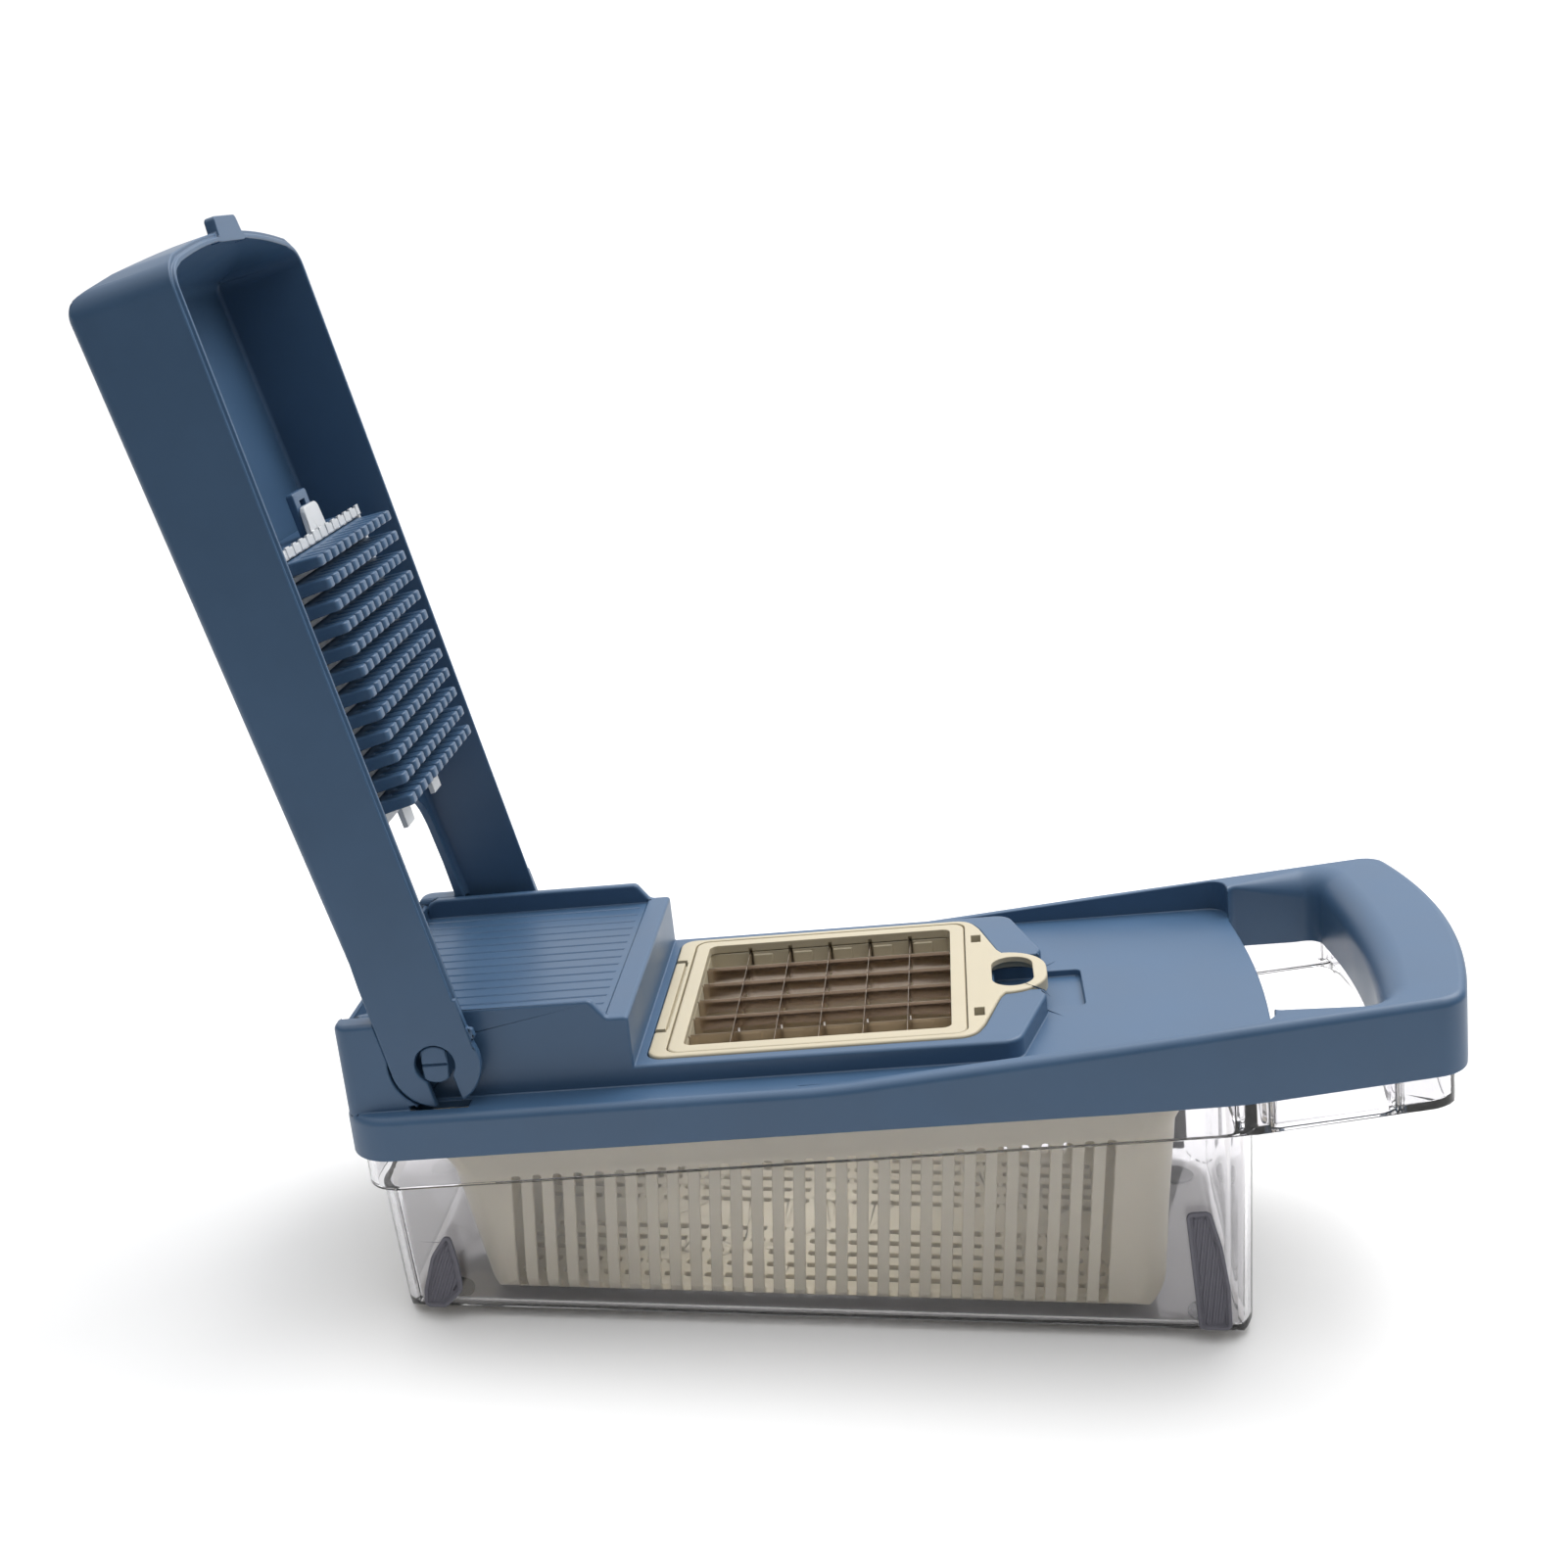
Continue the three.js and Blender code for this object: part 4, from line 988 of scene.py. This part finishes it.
def arm_side(inset=0.0):
    low = -30.0
    return rounded([(0, low), (ARM_TIP + 8, low), (ARM_TIP + 8, ARM_EDGE),
                    (ARM_TIP + 1 - inset, ARM_EDGE),
                    (ARM_TIP - 8 - inset, arm_back(222) - inset, 6.5 - inset),
                    (0, arm_back(0) - inset)], 12)


def arm_mesh(settings):
    long_round = settings.long_round / MM
    outside = trim(side_prism(arm_side(), -ARM_HALF, ARM_HALF, long_round, long_round),
                   prism(arm_outline(), ARM_EDGE, 40))
    ears = side_prism(circle(0, 0, EAR, 72), -ARM_HALF, ARM_HALF, 0.8, 0.8)
    cheeks = side_prism(rounded([(0, -9), (60, -9), (60, arm_back(60) - long_round), (28, arm_back(28)),
                                 (0, EAR)]), -ARM_HALF, ARM_HALF, 0.8, 0.8)
    inner_half = ARM_HALF - ARM_WALL
    inside = trim(side_prism(arm_side(ARM_WALL), -inner_half, inner_half, 1.5, 1.5),
                  prism(arm_outline(ARM_WALL), -40, 40))
    arm = cut(join(outside, ears, cheeks), inside)
    arch = prism(rounded([(-40, -ARM_FLANGE), (ARM_PANEL, -ARM_FLANGE, 14), (ARM_PANEL, ARM_FLANGE, 14),
                          (-40, ARM_FLANGE)], 12), -40, 40)
    arm = cut(arm, arch, box(-40, 15, -inner_half, inner_half, -40, 40))
    band = cut(prism(arm_outline(-2), ARM_EDGE - 1, ARM_EDGE + settings.lip_height / MM),
               prism(arm_outline(1.2), ARM_EDGE - 2, ARM_EDGE + 3),
               box(-60, EAR + 4, -WIDE, WIDE, ARM_EDGE - 2, ARM_EDGE + 3))
    arm = cut(arm, band)
    arm = cut(arm, side_prism(circle(0, 0, STUD_HOLE), -WIDE, WIDE),
              box(-40, 0, -WIDE, WIDE, -STUD_SLOT, STUD_SLOT))
    tab = prism(rounded([(ARM_TIP - 3, -10.5), (ARM_TIP + 4.2, -9, 1.5), (ARM_TIP + 4.2, 9, 1.5),
                         (ARM_TIP - 3, 10.5)]), ARM_EDGE, ARM_EDGE + 3.4, 0.3, 0.8)
    bumps = [side_prism(rounded([(8.5, ARM_EDGE + 1), (4.5, ARM_EDGE + 1), (4.5, -14.2, 0.8),
                                 (7.5, -14.2, 0.8)]), *sorted((side * 54.4, side * 56.2)))
             for side in (-1, 1)]
    return join(arm, tab, gather(bumps))


def tooth_row(settings):
    """One row of teeth across the arm: rounded tips, narrower notches, thinner towards the tips."""
    notch = settings.notch / MM
    tip_round = settings.tip_round / MM
    width = PITCH - notch
    corners = [(OPENING - notch / 2, TOOTH_ROOT + 1), (-OPENING + notch / 2, TOOTH_ROOT + 1)]
    for i in range(TEETH):
        y = -OPENING + notch / 2 + i * PITCH
        if i:
            corners.append((y - 0.1, TOOTH_FLOOR, 0.4))
        corners += [(y, TOOTH_TIP, tip_round), (y + width, TOOTH_TIP, tip_round)]
        if i < TEETH - 1:
            corners.append((y + width + 0.1, TOOTH_FLOOR, 0.4))
    thick, point = 4.2, 3.0
    row = bar_prism(rounded(corners, 5), -thick / 2, thick / 2, 0.7)

    def taper(p):
        depth = min(1.0, max(0.0, (TOOTH_ROOT - p.z) / (TOOTH_ROOT - TOOTH_TIP)))
        return Vector((p.x * (1 + (point / thick - 1) * depth), p.y, p.z))

    return reshape(row, taper)


def tooth_x(index):
    return GRID_X - HINGE[0] + (index - (TEETH - 1) / 2) * PITCH


def pusher_mesh(settings):
    centre, wall = GRID_X - HINGE[0], 2.2
    half = PUSHER_HALF
    block = prism(rectangle(centre - half, centre + half, -half, half, 2), PUSHER_LOW, PUSHER_HIGH,
                  0.8, 0)
    inner = half - wall
    block = cut(block, box(centre - inner, centre + inner, -inner, inner, PUSHER_LOW + wall, 40))
    rows = [placed(tooth_row(settings), Matrix.Translation((tooth_x(i), 0, 0))) for i in range(TEETH)]
    tongue = prism(rounded([(centre + inner, -6.5), (TONGUE_END, -6.5, 1), (TONGUE_END, 6.5, 1),
                            (centre + inner, 6.5)]), PUSHER_LOW, PUSHER_LOW + wall, 0.4, 0.2)
    tongue = cut(tongue, box(TONGUE_END - 4.4, TONGUE_END - 2.6, -2.5, 2.5, PUSHER_LOW - 1, 0))
    return join(block, gather(rows), tongue)


def comb_mesh():
    """Plate with one slot for each row of teeth, a clip tab above and two finger tabs below."""
    centre, half = GRID_X - HINGE[0], COMB_HALF
    plate = prism(rectangle(centre - half, centre + half, -half, half, 3), COMB_LOW, COMB_HIGH,
                  0.3, 0.3)
    top = prism(rounded([(centre + half - 2, -8), (COMB_CLIP, -6.5, 2.5), (COMB_CLIP, 6.5, 2.5),
                         (centre + half - 2, 8)]), COMB_LOW, COMB_HIGH, 0.4, 0.3)
    finger_tabs = [box(60.5, 70, y - 4, y + 4, COMB_LOW, COMB_HIGH) for y in (-17, 17)]
    plate = join(plate, top, gather(finger_tabs))
    slots = [box(tooth_x(i) - 2.45, tooth_x(i) + 2.45, -OPENING + 0.4, OPENING - 0.4, COMB_LOW - 1,
                 COMB_HIGH + 1) for i in range(TEETH)]
    beads = [box(centre + half - 2.6, centre + half + 0.6, y - 1.6, y + 1.6, COMB_LOW - 0.3,
                 COMB_LOW + 0.4, 0.2)
             for y in (-38.5 + PITCH * i for i in range(TEETH + 1))]
    return join(cut(plate, gather(slots)), gather(beads))


class ArmSettings(bpy.types.PropertyGroup):
    """Sizes of the press arm's edges and of the pusher's teeth."""
    long_round: length_setting("Long edge rounding", "Radius along the back of the arm", 2.4, 1, 5)
    lip_height: length_setting("Lip height", "Height of the inner lip along the free edge", 0.8, 0.2, 2)
    notch: length_setting("Notch width", "Gap between neighbouring teeth", 1.7, 1, 2.5)
    tip_round: length_setting("Tip rounding", "Radius at the tips of the teeth", 1.3, 0.5, 2)


class DICER_OT_arm(bpy.types.Operator):
    """Build the hinged press arm"""
    bl_idname = "dicer.arm"
    bl_label = "Press arm"

    def execute(self, context):
        add_piece("channel_arm", arm_mesh(context.scene.dicer_arm), ARM, blue(context), "press_arm",
                  ["press_arm"])
        return {"FINISHED"}


class DICER_OT_pusher(bpy.types.Operator):
    """Build the block of pusher teeth"""
    bl_idname = "dicer.pusher"
    bl_label = "Pusher teeth"

    def execute(self, context):
        add_piece("pusher_teeth", pusher_mesh(context.scene.dicer_arm), ARM, blue(context), "press_arm",
                  ["tooth_block"], 0)
        return {"FINISHED"}


class DICER_OT_comb(bpy.types.Operator):
    """Build the cleaning comb that sits round the teeth"""
    bl_idname = "dicer.comb"
    bl_label = "Cleaning comb"

    def execute(self, context):
        milky = milky_polyethylene(context.scene.dicer_finishes.comb)
        add_piece("comb_plate", comb_mesh(), ARM, milky, "press_arm",
                  ["cleaning_comb"], 0.2)
        return {"FINISHED"}


# ---- stage -------------------------------------------------------------------------------------
class FinishSettings(bpy.types.PropertyGroup):
    """Colours of the finishes."""
    blue: colour_setting("Blue plastic", "Colour of the lid, the arm and the teeth", "3F5B79")
    insert: colour_setting("Insert plastic", "Colour of the insert frame", "BBB199")
    basket: colour_setting("Basket plastic", "Colour of the drain basket", "F6EDD4")
    clear: colour_setting("Clear plastic", "Tint of the tub", "F5F4F6")
    comb: colour_setting("Comb plastic", "Colour of the cleaning comb", "E8EBEE")
    grip: colour_setting("Grip rubber", "Colour of the side grips", "63626B")
    foot: colour_setting("Foot rubber", "Colour of the feet", "6A6A6C")
    steel: colour_setting("Steel", "Colour of the blades", "BFB2A6")


class StageSettings(bpy.types.PropertyGroup):
    """Floor, light and camera."""
    floor: colour_setting("Floor", "Colour of the background paper", "F0F0F0")
    # Painted shade: the grey that the floor paper turns to in front, towards the camera.
    painted_floor_shade: colour_setting(
        "Floor shade", "Colour of the paper in front, where it is graduated to grey", "8C8C8C")
    key: bpy.props.FloatProperty(
        name="Key light", description="Power of the large soft light above", default=9.0, min=0, max=60,
        unit="POWER")
    camera: bpy.props.FloatVectorProperty(
        name="Camera", description="Place of the camera", subtype="XYZ", unit="LENGTH",
        default=(0.03218, -0.58745, 0.33007))
    yaw: bpy.props.FloatProperty(
        name="Yaw", description="Turn of the camera to the left", subtype="ANGLE", unit="ROTATION",
        default=math.radians(4.06))
    pitch: bpy.props.FloatProperty(
        name="Pitch", description="Tilt of the camera above the horizon", subtype="ANGLE",
        unit="ROTATION", default=math.radians(-17.01))
    roll: bpy.props.FloatProperty(
        name="Roll", description="Roll of the camera about its own line", subtype="ANGLE",
        unit="ROTATION", default=math.radians(-0.37))
    lens: bpy.props.FloatProperty(
        name="Lens", description="Focal length", default=47.5, min=10, max=200, unit="CAMERA")


def studio_world():
    """Studio light: brightest overhead, pale behind, dim in front, with dark flags at both sides."""
    world = bpy.data.worlds.new("Studio")
    world.use_nodes = True
    tree = world.node_tree
    tree.nodes.clear()
    coords = node(tree, "ShaderNodeTexCoord")
    axes = node(tree, "ShaderNodeSeparateXYZ", {"Vector": coords.outputs["Generated"]})
    across = node(tree, "ShaderNodeMapRange", {"Value": axes.outputs["Y"], "From Min": -0.6,
                                               "From Max": 0.75, "To Min": 0.07, "To Max": 1.06})
    up = node(tree, "ShaderNodeMapRange", {"Value": axes.outputs["Z"], "From Min": 0.4,
                                           "From Max": 1.0, "To Min": 0.0, "To Max": 1.6})
    aside = node(tree, "ShaderNodeMath", {"Value": axes.outputs["X"]}, operation="ABSOLUTE")
    flags = node(tree, "ShaderNodeMapRange", {"Value": aside.outputs["Value"], "From Min": 0.5,
                                              "From Max": 0.75, "To Min": 1.0, "To Max": 0.3})
    flagged = node(tree, "ShaderNodeMath", operation="MULTIPLY_ADD")
    for number, source in enumerate((across, flags, up)):
        tree.links.new(source.outputs["Result"], flagged.inputs[number])
    light = node(tree, "ShaderNodeBackground", {"Color": (1, 1, 1, 1),
                                                "Strength": flagged.outputs["Value"]})
    node(tree, "ShaderNodeOutputWorld", {"Surface": light.outputs["Background"]})
    return world


class DICER_OT_stage(bpy.types.Operator):
    """Set up the floor, the light and the camera"""
    bl_idname = "dicer.stage"
    bl_label = "Stage"

    def execute(self, context):
        scene, settings = context.scene, context.scene.dicer_stage
        scene.view_settings.view_transform = "Standard"
        scene.world = studio_world()
        floor_mesh = bpy.data.meshes.new("floor")
        ring = [(8 * math.cos(a), 8 * math.sin(a), 0) for a in (2 * math.pi * i / 96 for i in range(96))]
        floor_mesh.from_pydata(ring, [], [tuple(range(96))])
        floor_mesh.materials.append(backdrop_paper(settings.floor, settings.painted_floor_shade))
        floor = bpy.data.objects.new("floor", floor_mesh)
        scene.collection.objects.link(floor)
        light = bpy.data.lights.new("Key light", "AREA")
        light.energy, light.size = settings.key, 0.9
        key = bpy.data.objects.new("Key light", light)
        key.location = (0.45, 0.35, 1.15)
        key.rotation_euler = (-key.location).to_track_quat("-Z", "Y").to_euler()
        scene.collection.objects.link(key)
        camera = bpy.data.objects.new("Camera", bpy.data.cameras.new("Camera"))
        camera.data.lens, camera.data.sensor_width = settings.lens, 36
        camera.data.clip_start = 0.01
        camera.matrix_world = (
            Matrix.Translation(settings.camera) @ Matrix.Rotation(settings.yaw, 4, "Z")
            @ Matrix.Rotation(math.pi / 2 + settings.pitch, 4, "X")
            @ Matrix.Rotation(settings.roll, 4, "Z"))
        scene.collection.objects.link(camera)
        scene.camera = camera
        return {"FINISHED"}


# ---- add-on ------------------------------------------------------------------------------------
STEPS = (DICER_OT_stage, DICER_OT_tub, DICER_OT_feet, DICER_OT_grips, DICER_OT_basket, DICER_OT_lid,
         DICER_OT_insert, DICER_OT_blades, DICER_OT_arm, DICER_OT_pusher, DICER_OT_comb)
GROUPS = {"dicer_finishes": FinishSettings, "dicer_stage": StageSettings, "dicer_tub": TubSettings,
          "dicer_basket": BasketSettings, "dicer_lid": LidSettings, "dicer_insert": InsertSettings,
          "dicer_arm": ArmSettings}


class DICER_PT_pieces(bpy.types.Panel):
    """Lists the dicer's settings and one button for each piece"""
    bl_idname = "DICER_PT_pieces"
    bl_label = "Vegetable dicer"
    bl_space_type = "VIEW_3D"
    bl_region_type = "UI"
    bl_category = "Dicer"

    def draw(self, context):
        for step in STEPS:
            self.layout.operator(step.bl_idname)
        for name in GROUPS:
            column = self.layout.column(align=True)
            settings = getattr(context.scene, name)
            for setting in settings.bl_rna.properties:
                if setting.identifier not in {"rna_type", "name"}:
                    column.prop(settings, setting.identifier)


def register():
    for group in GROUPS.values():
        bpy.utils.register_class(group)
    for step in STEPS:
        bpy.utils.register_class(step)
    bpy.utils.register_class(DICER_PT_pieces)
    for name, group in GROUPS.items():
        setattr(bpy.types.Scene, name, bpy.props.PointerProperty(type=group))


def unregister():
    for name in GROUPS:
        delattr(bpy.types.Scene, name)
    bpy.utils.unregister_class(DICER_PT_pieces)
    for step in reversed(STEPS):
        bpy.utils.unregister_class(step)
    for group in GROUPS.values():
        bpy.utils.unregister_class(group)


def main():
    register()
    for step in STEPS:
        group, name = step.bl_idname.split(".")
        getattr(getattr(bpy.ops, group), name)()


if __name__ == "__main__":
    main()
